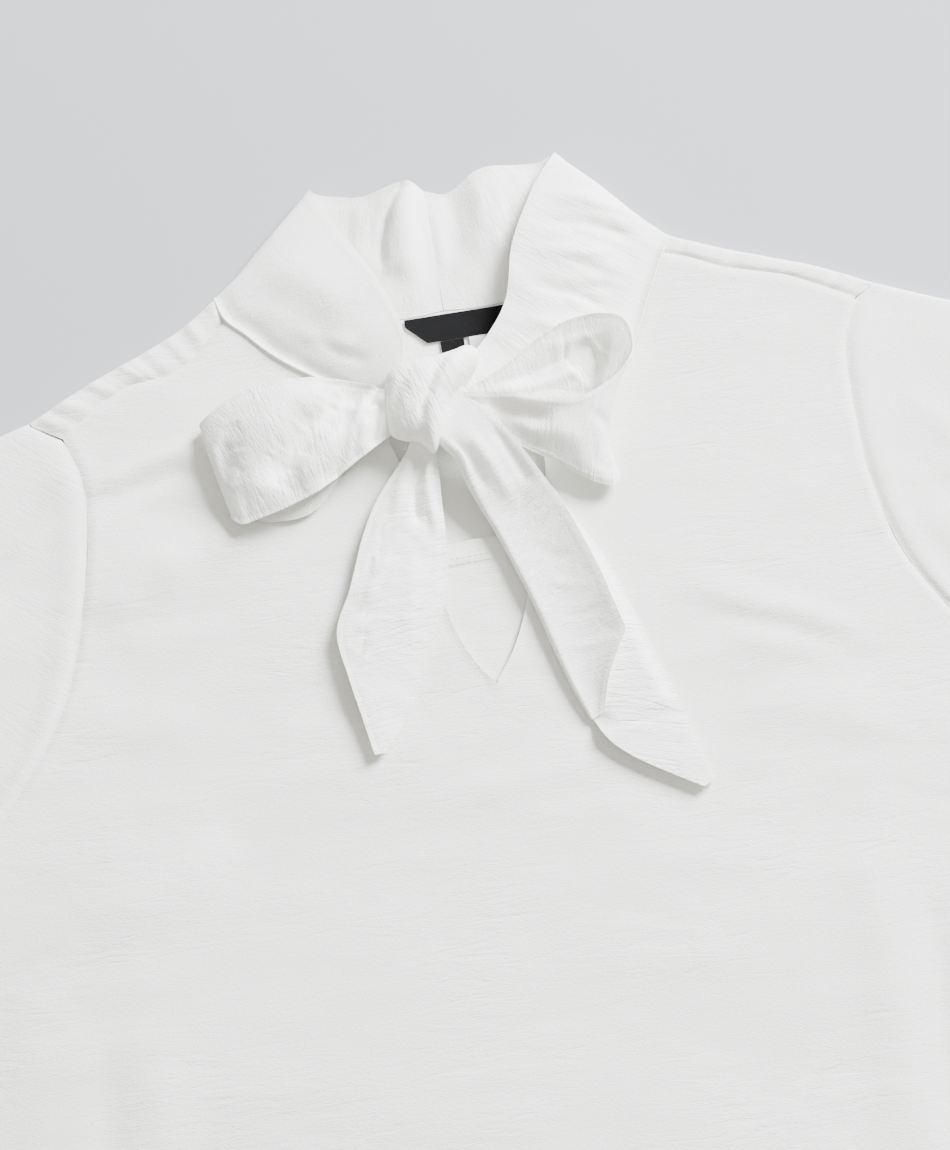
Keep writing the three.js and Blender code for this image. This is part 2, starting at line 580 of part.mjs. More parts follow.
function collarFoot(half, ends) {
  const back = moved(spread(half.backNeck, footRows, backMid), (half.side * neckGap) / 2);
  back[0].setX(centreBack.x + (half.side * seam) / 2);
  const neck = [...half.frontNeck].reverse();
  const front = moved(spread(neck, neckSteps, frontHigh), (-half.side * neckGap) / 2);
  const corner = point(half.shoulderEdge[0]);
  const next = point(half.shoulderEdge[1]);
  const run = new THREE.Vector3().subVectors(corner, next).normalize().multiplyScalar(tipGap);
  corner.add(run);
  const last = back[footRows];
  const turn = turnRows.map((part) => {
    const angle = Math.PI * (part - 0.5);
    const q = last.clone().lerp(corner, Math.cos(angle));
    return q.setZ(backMid + roll + roll * Math.sin(angle));
  });
  return [...back, ...turn, ...front.slice(0, frontRows), ...ends.map((row) => point(row))];
}

function collar(half, tops, ends) {
  const foot = collarFoot(half, ends);
  const grid = foot.map((p, i) => {
    const row = between(tops, i);
    const free = new THREE.Vector3(row.tx, row.ty, row.tz);
    return Array.from({ length: collarColumns + 1 }, (unused, j) => {
      const v = j / collarColumns;
      const q = p.clone().lerp(free, v);
      q.z += row.arch * 4 * v * (1 - v);
      return q;
    });
  });
  return wall([half.side > 0 ? grid : grid.map((row) => [...row].reverse())]);
}

// Bands of the bow

const bandColumns = 8;

function band(rows, steps) {
  return Array.from({ length: steps + 1 }, (unused, i) => {
    const row = between(rows, (i / steps) * (rows.length - 1));
    const a = new THREE.Vector3(row.ax, row.ay, row.az);
    const b = new THREE.Vector3(row.bx, row.by, row.bz);
    return Array.from({ length: bandColumns + 1 }, (other, j) => {
      const v = j / bandColumns;
      const bow = 4 * v * (1 - v);
      const q = a.clone().lerp(b, v);
      return q.add(new THREE.Vector3(row.pull * bow, 0, row.arch * bow));
    });
  });
}

const tailRows = 14;
const endRows = 4;
const foldColumns = 5;

// Under layer, turned fold and upper flap of the right tail
function foldedTail() {
  const under = [];
  const flap = [];
  for (let i = 0; i <= tailRows; i += 1) {
    const row = between(rightTail, (i / tailRows) * (rightTail.length - 1));
    const edge = new THREE.Vector3(row.lx, row.ly, row.z);
    const fold = new THREE.Vector3(row.fx, row.fy, row.z);
    const free = new THREE.Vector3(row.ux, row.uy, row.z + row.gape);
    const out = new THREE.Vector3().subVectors(fold, edge).normalize();
    const half = row.gape / 2;
    const inner = fold.clone().addScaledVector(out, -half);
    const lower = Array.from({ length: foldColumns + 1 }, (unused, j) => (
      edge.clone().lerp(inner, j / foldColumns)));
    const turned = [0.25, 0.5, 0.75, 1].map((part) => {
      const angle = Math.PI * (part - 0.5);
      const q = inner.clone().addScaledVector(out, half * Math.cos(angle));
      return q.setZ(row.z + half + half * Math.sin(angle));
    });
    const upper = Array.from({ length: foldColumns }, (unused, j) => (
      turned[3].clone().lerp(free, (j + 1) / foldColumns)));
    under.push(lower);
    flap.push([lower[foldColumns], ...turned, ...upper]);
  }
  const last = under[tailRows];
  const end = Array.from({ length: endRows + 1 }, (unused, i) => {
    if (i === 0) return last;
    const row = between(rightTailEnd, (i / endRows) * (rightTailEnd.length - 1));
    const edge = new THREE.Vector3(row.lx, row.ly, row.z);
    const fold = new THREE.Vector3(row.fx, row.fy, row.z);
    return last.map((p, j) => edge.clone().lerp(fold, j / foldColumns));
  });
  return wall([under, flap, end].map((grid) => grid.map((row) => [...row].reverse())));
}

// Knot: a rounded wrap with soft ridges round it, grown by a margin when it cuts its neighbours
function knot(margin = 0) {
  const geometry = new THREE.SphereGeometry(1, 24, 14);
  const position = geometry.attributes.position;
  const size = knotSize;
  const p = new THREE.Vector3();
  for (let i = 0; i < position.count; i += 1) {
    p.fromBufferAttribute(position, i).normalize();
    const square = (value) => Math.sign(value) * Math.abs(value) ** knotSquare;
    const wave = Math.sin(knotRidge.across * p.x + knotRidge.along * p.y);
    const ridge = 1 + knotRidge.height * wave * Math.sqrt(Math.max(0, 1 - p.y * p.y));
    const x = square(p.x) * (size.wide * ridge + margin);
    const y = square(p.y) * (size.long + margin);
    const z = square(p.z) * (size.high * ridge + margin);
    position.setXYZ(i, x, y, z);
  }
  geometry.rotateZ(-size.turn);
  geometry.translate(size.x, size.y, size.z);
  return geometry;
}

// Flat pieces

function modestyPanel() {
  const columns = 8;
  const rows = 8;
  const grid = Array.from({ length: rows + 1 }, (unused, i) => (
    Array.from({ length: columns + 1 }, (other, j) => {
      const x = THREE.MathUtils.lerp(-modesty.x, modesty.x, j / columns);
      const y = THREE.MathUtils.lerp(modesty.top, modesty.foot, i / rows);
      return new THREE.Vector3(x, y, frontAt(x, y) - modesty.drop);
    })));
  return wall([grid]);
}

function flatPiece(outline, thick) {
  const shape = new THREE.Shape(outline.map(([x, y]) => new THREE.Vector2(x, y)));
  const geometry = new THREE.ExtrudeGeometry(shape, { depth: thick, bevelEnabled: false });
  geometry.translate(0, 0, cloth + seam);
  return geometry;
}

function labelPiece() {
  const { left, right, top, depth, corner, thick } = label;
  return flatPiece([
    [left, top], [left, top - depth + corner], [left + corner, top - depth],
    [right, top - depth], [right, top],
  ], thick);
}

function tabPiece(tab) {
  const top = label.top - label.depth - seam;
  return flatPiece([
    [tab.left, top], [tab.left, top - tab.depth], [tab.right, top - tab.depth], [tab.right, top],
  ], tab.thick);
}

// The garment

const garment = new THREE.Group();

function piece(name, geometry, material = white) {
  const mesh = new THREE.Mesh(geometry, material);
  mesh.name = name;
  garment.add(mesh);
}

const knotRoom = knot(knotGap);

piece('back', wall([...backHalf(halves.left), ...backHalf(halves.right)]));
piece('front', wall([...frontHalf(halves.left), ...frontHalf(halves.right)]));
piece('modesty_panel', modestyPanel());
for (const [name, half] of Object.entries(halves)) {
  piece(`sleeve_${name}`, sleeve(half));
  piece(`collar_${name}`, cutClear(collar(half, collarTops[name], collarEnds[name]), knotRoom));
}
piece('loop_left', cutClear(wall([band(leftLoop, 22)]), knotRoom));
piece('loop_right', cutClear(wall([band(rightLoop, 24).map((row) => row.reverse())]), knotRoom));
piece('tail_left', cutClear(wall([band(leftTail, 16)]), knotRoom));
piece('tail_right', cutClear(foldedTail(), knotRoom));
piece('knot', knot());
piece('neck_label', labelPiece(), black);
piece('size_tab', tabPiece(sizeTab), black);
piece('care_tab', tabPiece(careTab));

const box = new THREE.Box3().setFromObject(garment);
const centre = box.getCenter(new THREE.Vector3());
garment.position.set(-centre.x, -centre.y, -box.min.z);

export default garment;
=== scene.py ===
import math
import bpy
import numpy as np
from mathutils import Euler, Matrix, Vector


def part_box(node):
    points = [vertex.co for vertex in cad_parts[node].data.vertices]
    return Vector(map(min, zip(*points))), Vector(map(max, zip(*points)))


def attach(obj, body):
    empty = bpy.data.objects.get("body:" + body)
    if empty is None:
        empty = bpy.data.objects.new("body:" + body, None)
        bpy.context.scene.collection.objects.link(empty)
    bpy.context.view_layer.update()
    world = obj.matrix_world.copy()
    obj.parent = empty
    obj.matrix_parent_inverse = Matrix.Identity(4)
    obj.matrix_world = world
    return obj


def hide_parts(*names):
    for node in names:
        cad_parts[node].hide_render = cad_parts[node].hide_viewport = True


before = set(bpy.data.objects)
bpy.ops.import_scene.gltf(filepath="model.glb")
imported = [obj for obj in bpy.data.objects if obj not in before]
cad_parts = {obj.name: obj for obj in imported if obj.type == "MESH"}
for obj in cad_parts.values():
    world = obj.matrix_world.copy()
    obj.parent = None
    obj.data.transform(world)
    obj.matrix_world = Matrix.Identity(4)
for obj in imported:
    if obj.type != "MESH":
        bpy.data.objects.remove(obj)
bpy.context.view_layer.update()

bpy.ops.object.select_all(action="DESELECT")
print("frame loaded")

# Tables are in millimetres, measured from the middle between the shoulder tips: x across,
# y towards the collar, z up from the surface. The hem's place in the frame ties the two.
hemY = -600
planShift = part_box("front")[0][1] * 1000 - hemY

wall = {"body": 0.8, "band": 0.9, "collar": 1.1}    # finished thickness of the crepe
layers = {"back": 0.4, "frontLow": 2.1, "frontHigh": 4.6, "frontCentre": 4.0}
roll = 2.0           # radius of the turned edges at shoulders and sleeves
edgeMiddle = (layers["back"] + layers["frontHigh"]) / 2
edgeRise = (layers["frontHigh"] - layers["back"]) / 2


# Curves and tables

def lengthsAlong(points):
    return np.concatenate([[0], np.cumsum(np.linalg.norm(np.diff(points, axis=0), axis=1))])


def splineAt(points, parts, z=0.0):
    # smooth curve through the points, read at parts of its length
    pts = np.array(points, float)
    if pts.shape[1] == 2:
        pts = np.column_stack([pts, np.full(len(pts), z)])
    ctrl = np.vstack([2 * pts[0] - pts[1], pts, 2 * pts[-1] - pts[-2]])
    s = np.linspace(0, 1, 33)[:-1, None]
    dense = []
    for k in range(len(pts) - 1):
        p0, p1, p2, p3 = ctrl[k:k + 4]
        d0, d1, d2 = np.maximum(np.linalg.norm(np.diff([p0, p1, p2, p3], axis=0), axis=1) ** 0.5, 1e-4)
        m1 = ((p1 - p0) / d0 - (p2 - p0) / (d0 + d1) + (p2 - p1) / d1) * d1
        m2 = ((p2 - p1) / d1 - (p3 - p1) / (d1 + d2) + (p3 - p2) / d2) * d1
        square, cube = -3 * p1 + 3 * p2 - 2 * m1 - m2, 2 * p1 - 2 * p2 + m1 + m2
        dense.append(p1 + m1 * s + square * s ** 2 + cube * s ** 3)
    dense = np.vstack(dense + [pts[-1:]])
    length = lengthsAlong(dense)
    at = np.asarray(parts, float) * length[-1]
    return np.column_stack([np.interp(at, length, dense[:, i]) for i in range(3)])


def even(count):
    return np.linspace(0, 1, count + 1)


def sidestep(points, distance):
    # moved sideways in plan, to the left of the direction where the distance is positive
    run = np.zeros_like(points)
    run[1:-1] = points[2:] - points[:-2]
    run[0] = points[1] - points[0]
    run[-1] = points[-1] - points[-2]
    run[:, 2] = 0
    run /= np.linalg.norm(run, axis=1)[:, None]
    return points + np.column_stack([-run[:, 1], run[:, 0], np.zeros(len(run))]) * distance


def tableAt(places, rows, at):
    # smooth values of a table's columns between its rows
    places = np.array(places, float)
    rows = np.array(rows, float)
    at = np.asarray(at, float)
    slope = np.empty_like(rows)
    slope[1:-1] = (rows[2:] - rows[:-2]) / (places[2:] - places[:-2])[:, None]
    slope[0] = (rows[1] - rows[0]) / (places[1] - places[0])
    slope[-1] = (rows[-1] - rows[-2]) / (places[-1] - places[-2])
    k = np.clip(np.searchsorted(places, at, side="right") - 1, 0, len(rows) - 2)
    span = (places[k + 1] - places[k])[:, None]
    t = (at - places[k])[:, None] / span
    h = t * t * (3 - 2 * t)
    bend = t * (1 - t) * ((1 - t) * slope[k] - t * slope[k + 1]) * span
    return rows[k] * (1 - h) + rows[k + 1] * h + bend


def rowsAt(rows, steps):
    # a table's values at even steps from its first row to its last, and the places of those steps
    at = np.linspace(0, len(rows) - 1, steps + 1)
    return tableAt(np.arange(len(rows)), rows, at), at


def bell(value):
    return np.exp(-value ** 2)


def ridge(distance, height, place, width):
    return height * bell((distance - place) / width)


def smooth(value):
    t = np.clip(value, 0, 1)
    return t * t * (3 - 2 * t)


def ruled(first, last, shares):
    # grid of straight lines from one edge to another
    across = shares[None, :, None]
    return first[:, None] * (1 - across) + last[:, None] * across


def coons(top, bottom, start, end, us, vs):
    # grid between four edges: first and last rows, first and last columns
    u = np.asarray(us)[None, :, None]
    v = np.asarray(vs)[:, None, None]
    rows = top[None] * (1 - v) + bottom[None] * v
    columns = start[:, None] * (1 - u) + end[:, None] * u
    corners = (top[0] * (1 - u) * (1 - v) + top[-1] * u * (1 - v)
               + bottom[0] * (1 - u) * v + bottom[-1] * u * v)
    return rows + columns - corners


# Relief

def nearest(x, y, line):
    # the distance to a line, the side of it, and the share of its length there
    pts = np.array(line, float)
    length = lengthsAlong(pts)
    best = np.full(x.shape, 1e9)
    side = np.zeros(x.shape)
    along = np.zeros(x.shape)
    for a, b, begun, ended in zip(pts[:-1], pts[1:], length[:-1], length[1:]):
        d = (b - a) / (ended - begun)
        t = np.clip((x - a[0]) * d[0] + (y - a[1]) * d[1], 0, ended - begun)
        away = np.hypot(x - a[0] - t * d[0], y - a[1] - t * d[1])
        closer = away < best
        side = np.where(closer, (x - a[0]) * d[1] - (y - a[1]) * d[0], side)
        along = np.where(closer, (begun + t) / length[-1], along)
        best = np.where(closer, away, best)
    return best, np.sign(side), along


def fadedEnds(along, fade):
    return smooth(along / fade) * smooth((1 - along) / fade) if fade else 1.0


def creased(x, y, creases):
    # height added by soft ridges and troughs: each has a line, a half width, a height and the
    # share of its length over which either end fades out
    total = np.zeros_like(x)
    for line, width, height, fade in creases:
        away, _, along = nearest(x, y, line)
        total += height * bell(away / width) * fadedEnds(along, fade)
    return total


def stepped(x, y, steps):
    # folds that lie over their neighbour: on the right of each line the cloth is lower by a
    # drop that fades out over a reach
    total = np.zeros_like(x)
    for line, width, drop, reach in steps:
        away, side, along = nearest(x, y, line)
        total -= drop * smooth(side * away / width) * bell(away / reach) * fadedEnds(along, 0.15)
    return total


def acrossFolds(line, count, length, width, height, lean, seed, spread=0.35):
    # short folds that lie across a line, each with its own place, length, lean and height
    rng = np.random.default_rng(seed)
    places = splineAt(line, (np.arange(count) + 0.5 + rng.uniform(-0.4, 0.4, count)) / count)
    folds = []
    for x, y, _ in places:
        angle = lean + rng.uniform(-0.45, 0.45)
        half = length * rng.uniform(0.55, 1.3) / 2
        off = rng.uniform(-spread, spread) * length
        x, y = x + off * math.cos(angle), y + off * math.sin(angle)
        bend = rng.uniform(-0.18, 0.18) * half
        line = [(x - half * math.cos(angle), y - half * math.sin(angle)),
                (x - bend * math.sin(angle), y + bend * math.cos(angle)),
                (x + half * math.cos(angle), y + half * math.sin(angle))]
        wide = width * rng.uniform(0.7, 1.3)
        folds.append((line, wide, height * rng.choice([-1, 1]) * rng.uniform(0.5, 1.2), 0.4))
    return folds


def softNoise(x, y, waveX, waveY, seed):
    # smooth random relief between -1 and 1
    lattice = np.random.default_rng(seed).random((97, 89)) * 2 - 1
    u = x / waveX + 31.7
    v = y / waveY + 47.3
    i = np.floor(u).astype(int)
    j = np.floor(v).astype(int)
    s = smooth(u - i)
    t = smooth(v - j)
    pick = lambda a, b: lattice[a % 97, b % 89]
    low = pick(i, j) * (1 - s) + pick(i + 1, j) * s
    high = pick(i, j + 1) * (1 - s) + pick(i + 1, j + 1) * s
    return (low * (1 - t) + high * t) * 1.6


def crepeRelief(along, across, size=1.0, seed=1):
    # puckers of the crepe that are large enough to be modelled: long one way, short the other
    big = softNoise(along + across * 0.3, across, 34, 9, seed)
    small = softNoise(along - across * 0.25, across + big * 1.5, 17, 4.6, seed + 1)
    return size * (0.10 * big + 0.055 * small)


def normalsOf(grid):
    du = np.gradient(grid, axis=1)
    dv = np.gradient(grid, axis=0)
    n = np.cross(dv, du)
    n /= np.maximum(np.linalg.norm(n, axis=2), 1e-9)[..., None]
    return n


def arcs(grid):
    # distances over the cloth of a grid: across from the first column, along from the first row
    across = np.zeros(grid.shape[:2])
    along = np.zeros(grid.shape[:2])
    across[:, 1:] = np.cumsum(np.linalg.norm(np.diff(grid, axis=1), axis=2), axis=1)
    along[1:] = np.cumsum(np.linalg.norm(np.diff(grid, axis=0), axis=2), axis=0)
    across -= across.mean(axis=1)[:, None]
    along = np.repeat(along.mean(axis=1)[:, None], grid.shape[1], axis=1)
    return np.stack([across, along], axis=2)


# Objects

def addObject(name, data):
    obj = bpy.data.objects.new(name, data)
    bpy.context.collection.objects.link(obj)
    return obj


def addMesh(name, points, faces, cornerMaps):
    mesh = bpy.data.meshes.new(name)
    mesh.from_pydata(((points + [0, planShift, 0]) / 1000).tolist(), [], faces)
    mesh.update()
    uv = mesh.uv_layers.new(name="cloth")
    uv.data.foreach_set("uv", (cornerMaps / 100).astype(np.float32).ravel())
    return addObject(name, mesh)


def meshObject(name, grids, maps, flip=False):
    # one sheet from grids of points that share their edges, with a map in decimetres
    points = np.vstack([g.reshape(-1, 3) for g in grids])
    mapped = np.vstack([m.reshape(-1, 2) for m in maps])
    _, first, inverse = np.unique(np.round(points * 400).astype(np.int64), axis=0,
                                  return_index=True, return_inverse=True)
    inverse = inverse.reshape(-1)
    faces = []
    begun = 0
    for grid in grids:
        rows, columns = grid.shape[:2]
        ids = np.arange(begun, begun + rows * columns).reshape(rows, columns)
        a, b, c, d = ids[:-1, :-1], ids[1:, :-1], ids[1:, 1:], ids[:-1, 1:]
        faces.append(np.stack([a, d, c, b] if flip else [a, b, c, d], axis=-1).reshape(-1, 4))
        begun += rows * columns
    polygons, corners = [], []
    for quad in np.vstack(faces).tolist():
        shared = [inverse[v] for v in quad]
        kept = [v for i, v in enumerate(quad) if shared[i] != shared[i - 1]]
        ring = [int(inverse[v]) for v in kept]
        if len(set(ring)) > 2:
            polygons.append(ring)
            corners += kept
    return addMesh(name, points[first], polygons, mapped[corners])


def turnedOver(grid, side):
    return grid if side > 0 else grid[:, ::-1]


def selectOnly(obj):
    bpy.ops.object.select_all(action="DESELECT")
    obj.select_set(True)
    bpy.context.view_layer.objects.active = obj


def finishCloth(obj, thickness, angle=55):
    selectOnly(obj)
    modifier = obj.modifiers.new("wall", "SOLIDIFY")
    modifier.thickness = thickness / 1000
    modifier.offset = 0
    modifier.use_quality_normals = True
    bpy.ops.object.modifier_apply(modifier="wall")
    bpy.ops.object.shade_smooth_by_angle(angle=math.radians(angle))
    obj.select_set(False)


def sewIn(obj, node, material):
    obj.data.materials.append(material)
    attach(obj, "root")
    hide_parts(node)


def makeCloth(name, grids, maps, thickness, node, material):
    obj = meshObject(name, grids, maps)
    finishCloth(obj, wall[thickness])
    sewIn(obj, node, material)
    return obj


# Camera at the photograph's angle, and the studio

view = {"turn": -9.5, "rise": 78.0, "lens": 80.0, "away": 1161.6, "target": (-4.28, -103.95)}


def setCamera():
    data = bpy.data.cameras.new("photoCamera")
    data.lens = view["lens"]
    data.sensor_width = 36
    data.clip_end = 20
    cam = addObject("photoCamera", data)
    cam.rotation_euler = Euler((math.radians(90 - view["rise"]), 0, math.radians(view["turn"])))
    back = cam.rotation_euler.to_matrix() @ Vector((0, 0, 1))
    x, y = view["target"]
    cam.location = Vector((x, y + planShift, 0)) / 1000 + back * view["away"] / 1000
    bpy.context.scene.camera = cam


# Lights are named after where they stand round the laid garment
lamps = {
    "window": {"at": (2.2, 2.0, 1.9), "size": 1.5, "power": 725, "color": (0.94, 0.965, 1.0)},
    "ceiling": {"at": (0.2, -0.3, 2.4), "size": 2.6, "power": 27, "color": (0.97, 0.98, 1.0)},
    "card": {"at": (-1.7, -0.6, 1.1), "size": 1.6, "power": 8, "color": (1.0, 0.98, 0.95)},
}
ambient = {"color": (1.0, 0.955, 0.83), "strength": 0.43}


def setStudio():
    for name, lamp in lamps.items():
        data = bpy.data.lights.new(name, "AREA")
        data.size = lamp["size"]
        data.energy = lamp["power"]
        data.color = lamp["color"]
        obj = addObject(name, data)
        obj.location = lamp["at"]
        toward = Vector((0, 0.12, 0)) - obj.location
        obj.rotation_euler = toward.to_track_quat("-Z", "Y").to_euler()
    world = bpy.data.worlds.new("studio")
    bpy.context.scene.world = world
    world.use_nodes = True
    sky = world.node_tree.nodes["Background"]
    sky.inputs["Color"].default_value = (*ambient["color"], 1)
    sky.inputs["Strength"].default_value = ambient["strength"]


# Materials

def fill(tree, node, inputs):
    # sets a node's inputs to values, or joins them to the outputs of other nodes
    for name, value in inputs.items():
        if isinstance(value, bpy.types.NodeSocket):
            tree.links.new(value, node.inputs[name])
        else:
            node.inputs[name].default_value = value


def addNode(tree, kind, inputs=None, **settings):
    node = tree.nodes.new("ShaderNode" + kind)
    for name, value in settings.items():
        setattr(node, name, value)
    fill(tree, node, inputs or {})
    return node


def maths(tree, operation, first, second=None):
    pair = {0: first} if second is None else {0: first, 1: second}
    return addNode(tree, "Math", pair, operation=operation).outputs[0]


def mixedSum(tree, first, firstShare, second, secondShare):
    return maths(tree, "ADD", maths(tree, "MULTIPLY", first, firstShare),
                 maths(tree, "MULTIPLY", second, secondShare))


def noise(tree, vector, scale, stretch=(1, 1, 1), detail=2.0, rough=0.5, warp=0.0, turn=0.0):
    placed = addNode(tree, "Mapping", {"Scale": stretch, "Rotation": (0, 0, turn), "Vector": vector})
    return addNode(tree, "TexNoise", {"Scale": scale, "Detail": detail, "Roughness": rough,
                                      "Distortion": warp, "Vector": placed.outputs["Vector"]}).outputs[0]


def threadWaves(tree, vector, axis, scale, warp, detail=2.0):
    settings = {"Scale": scale, "Distortion": warp, "Detail": detail, "Vector": vector}
    return addNode(tree, "TexWave", settings, bands_direction=axis).outputs["Fac"]


def blended(tree, share, dark, light):
    return addNode(tree, "Mix", {"A": (*dark, 1), "B": (*light, 1), "Factor": share},
                   data_type="RGBA").outputs["Result"]


def newMaterial(name, surface):
    material = bpy.data.materials.new(name)
    material.use_nodes = True
    shader = material.node_tree.nodes["Principled BSDF"]
    fill(material.node_tree, shader, surface)
    return material, material.node_tree, shader


# Crinkles of crepe: long soft puckers one way, broken up by shorter ones, over a fine weave. The colour is
# painted darker in the troughs between puckers (painted shade) and varies at random with the grain.
crinkle = {
    "ridges": [{"scale": 3.2, "stretch": 5.0, "turn": 0.10, "warp": 0.9},
               {"scale": 9.5, "stretch": 4.2, "turn": -0.16, "warp": 1.3}],
    "ridgeShares": (1.6, 0.8), "crest": 0.35, "soft": 0.0022,
    "patch": {"scale": 1.3, "stretch": 1.6, "from": 0.40, "to": 0.64, "least": 0.22},
    "grain": 75.0, "grainShare": 0.24, "weave": 52.521, "weaveShare": 0.035,
}


def makeCrinkleGroup():
    tree = bpy.data.node_groups.new("crepeCrinkle", "ShaderNodeTree")
    tree.interface.new_socket("Cloth", in_out="INPUT", socket_type="NodeSocketVector")
    tree.interface.new_socket("Crinkle", in_out="INPUT", socket_type="NodeSocketFloat")
    for label in ("Height", "GrainAndPaintedShade"):
        tree.interface.new_socket(label, in_out="OUTPUT", socket_type="NodeSocketFloat")
    enter = tree.nodes.new("NodeGroupInput")
    leave = tree.nodes.new("NodeGroupOutput")
    cloth = enter.outputs["Cloth"]
    ridges = []
    for wave in crinkle["ridges"]:
        field = noise(tree, cloth, wave["scale"], (1, wave["stretch"], 1), 3.0, 0.55,
                      wave["warp"], wave["turn"])
        off = maths(tree, "SUBTRACT", field, 0.5)
        squared = maths(tree, "ADD", maths(tree, "MULTIPLY", off, off), crinkle["soft"])
        ridges.append(maths(tree, "SUBTRACT", crinkle["crest"], maths(tree, "SQRT", squared)))
    longShare, shortShare = crinkle["ridgeShares"]
    mixed = mixedSum(tree, ridges[0], longShare, ridges[1], shortShare)
    patch = crinkle["patch"]
    field = noise(tree, cloth, patch["scale"], (1, patch["stretch"], 1), 2.0, 0.5, 0.4)
    where = addNode(tree, "MapRange", {"From Min": patch["from"], "From Max": patch["to"],
                                       "To Min": patch["least"], "Value": field})
    local = maths(tree, "MULTIPLY", mixed, where.outputs["Result"])
    puckers = maths(tree, "MULTIPLY", local, enter.outputs["Crinkle"])
    grain = noise(tree, cloth, crinkle["grain"], (1, 1.7, 1), 2.0, 0.6, 0.3)
    threads = [threadWaves(tree, cloth, axis, crinkle["weave"], 1.6, 1.0) for axis in "XY"]
    woven = maths(tree, "MULTIPLY", *threads)
    fine = mixedSum(tree, grain, crinkle["grainShare"], woven, crinkle["weaveShare"])
    # The second output follows the puckers' crests and the grain. Where it is low the colour is darkened:
    # painted shade in the pucker troughs, together with the grain's random tone.
    fill(tree, leave, {"Height": maths(tree, "ADD", puckers, fine),
                       "GrainAndPaintedShade": mixedSum(tree, local, 0.5, grain, 0.5)})
    return tree


# The band is double, so less of the floor's grey shows through it than through the body
crepe = {
    # The dark share below is the tone in the pucker troughs, which is painted shade, and at the darkest
    # grain.
    "body": (0.88, 0.878, 0.828), "band": (0.972, 0.97, 0.916), "grainAndShadeDark": 0.92,
    "surface": {"Roughness": 0.85, "Sheen Weight": 0.18, "Sheen Roughness": 0.45,
                "Specular IOR Level": 0.25, "Subsurface Weight": 0.14,
                "Subsurface Radius": (1.0, 0.82, 0.62), "Subsurface Scale": 0.0015},
}


def makeCrepe(name, group, tone, crinkleSize, bump, turn=0.0):
    material, tree, shader = newMaterial(name, crepe["surface"])
    place = addNode(tree, "UVMap", uv_map="cloth")
    turned = addNode(tree, "Mapping", {"Rotation": (0, 0, turn), "Vector": place.outputs["UV"]})
    cloth = addNode(tree, "Group", {"Crinkle": crinkleSize, "Cloth": turned.outputs["Vector"]},
                    node_tree=group)
    # Painted shade: the colour falls to the dark share in the troughs between puckers, and it varies at
    # random with the grain.
    spread = addNode(tree, "MapRange", {"From Min": 0.1, "From Max": 0.5, "Value": cloth.outputs["GrainAndPaintedShade"]})
    full = crepe[tone]
    color = blended(tree, spread.outputs["Result"], [part * crepe["grainAndShadeDark"] for part in full], full)
    relief = addNode(tree, "Bump", {"Strength": 1.0, "Distance": bump, "Height": cloth.outputs["Height"]})
    fill(tree, shader, {"Base Color": color, "Normal": relief.outputs["Normal"]})
    return material


plainLooks = {
    "labelSatin": {"dark": (0.0016, 0.0016, 0.002), "light": (0.005, 0.005, 0.0055), "grain": 900,
                   "stretch": (1, 2, 1), "threads": 700, "bump": 0.00012,
                   "surface": {"Roughness": 0.6, "Specular IOR Level": 0.12}},
    "careTape": {"dark": (0.74, 0.74, 0.72), "light": (0.84, 0.84, 0.83), "grain": 1400,
                 "stretch": (1, 1, 1), "bump": 0.0001, "surface": {"Roughness": 0.55}},
    "palePaper": {"dark": (0.39, 0.39, 0.415), "light": (0.41, 0.41, 0.435), "grain": 1.2,
                  "stretch": (1, 1, 1), "surface": {"Roughness": 0.9}},
}


def makePlain(name):
    look = plainLooks[name]
    material, tree, shader = newMaterial(name, look["surface"])
    place = addNode(tree, "TexCoord").outputs["Object"]
    grain = height = noise(tree, place, look["grain"], look["stretch"])
    fill(tree, shader, {"Base Color": blended(tree, grain, look["dark"], look["light"])})
    if "threads" in look:
        height = mixedSum(tree, threadWaves(tree, place, "Y", look["threads"], 0.6), 1.0, grain, 0.6)
    if "bump" in look:
        relief = addNode(tree, "Bump", {"Distance": look["bump"], "Height": height})
        fill(tree, shader, {"Normal": relief.outputs["Normal"]})
    return material


def makeFloor():
    bpy.ops.mesh.primitive_plane_add(size=7, location=(0, 0, -0.0004))
    floor = bpy.context.object
    floor.name = "studioFloor"
    bpy.ops.object.transform_apply(location=True)
    floor.data.materials.append(makePlain("palePaper"))
    floor.select_set(False)


setCamera()
setStudio()
makeFloor()
crinkleGroup = makeCrinkleGroup()
bodyCrepe = makeCrepe("bodyCrepe", crinkleGroup, "body", 0.75, 0.0011)
sleeveCrepe = makeCrepe("sleeveCrepe", crinkleGroup, "body", 0.6, 0.0012)
collarCrepe = makeCrepe("collarCrepe", crinkleGroup, "band", 0.9, 0.0012)
bandCrepe = makeCrepe("bandCrepe", crinkleGroup, "band", 1.35, 0.0014, 0.3)
print("studio and materials ready")


# Outlines shared by the cut pieces, from the neck outwards or from the top down

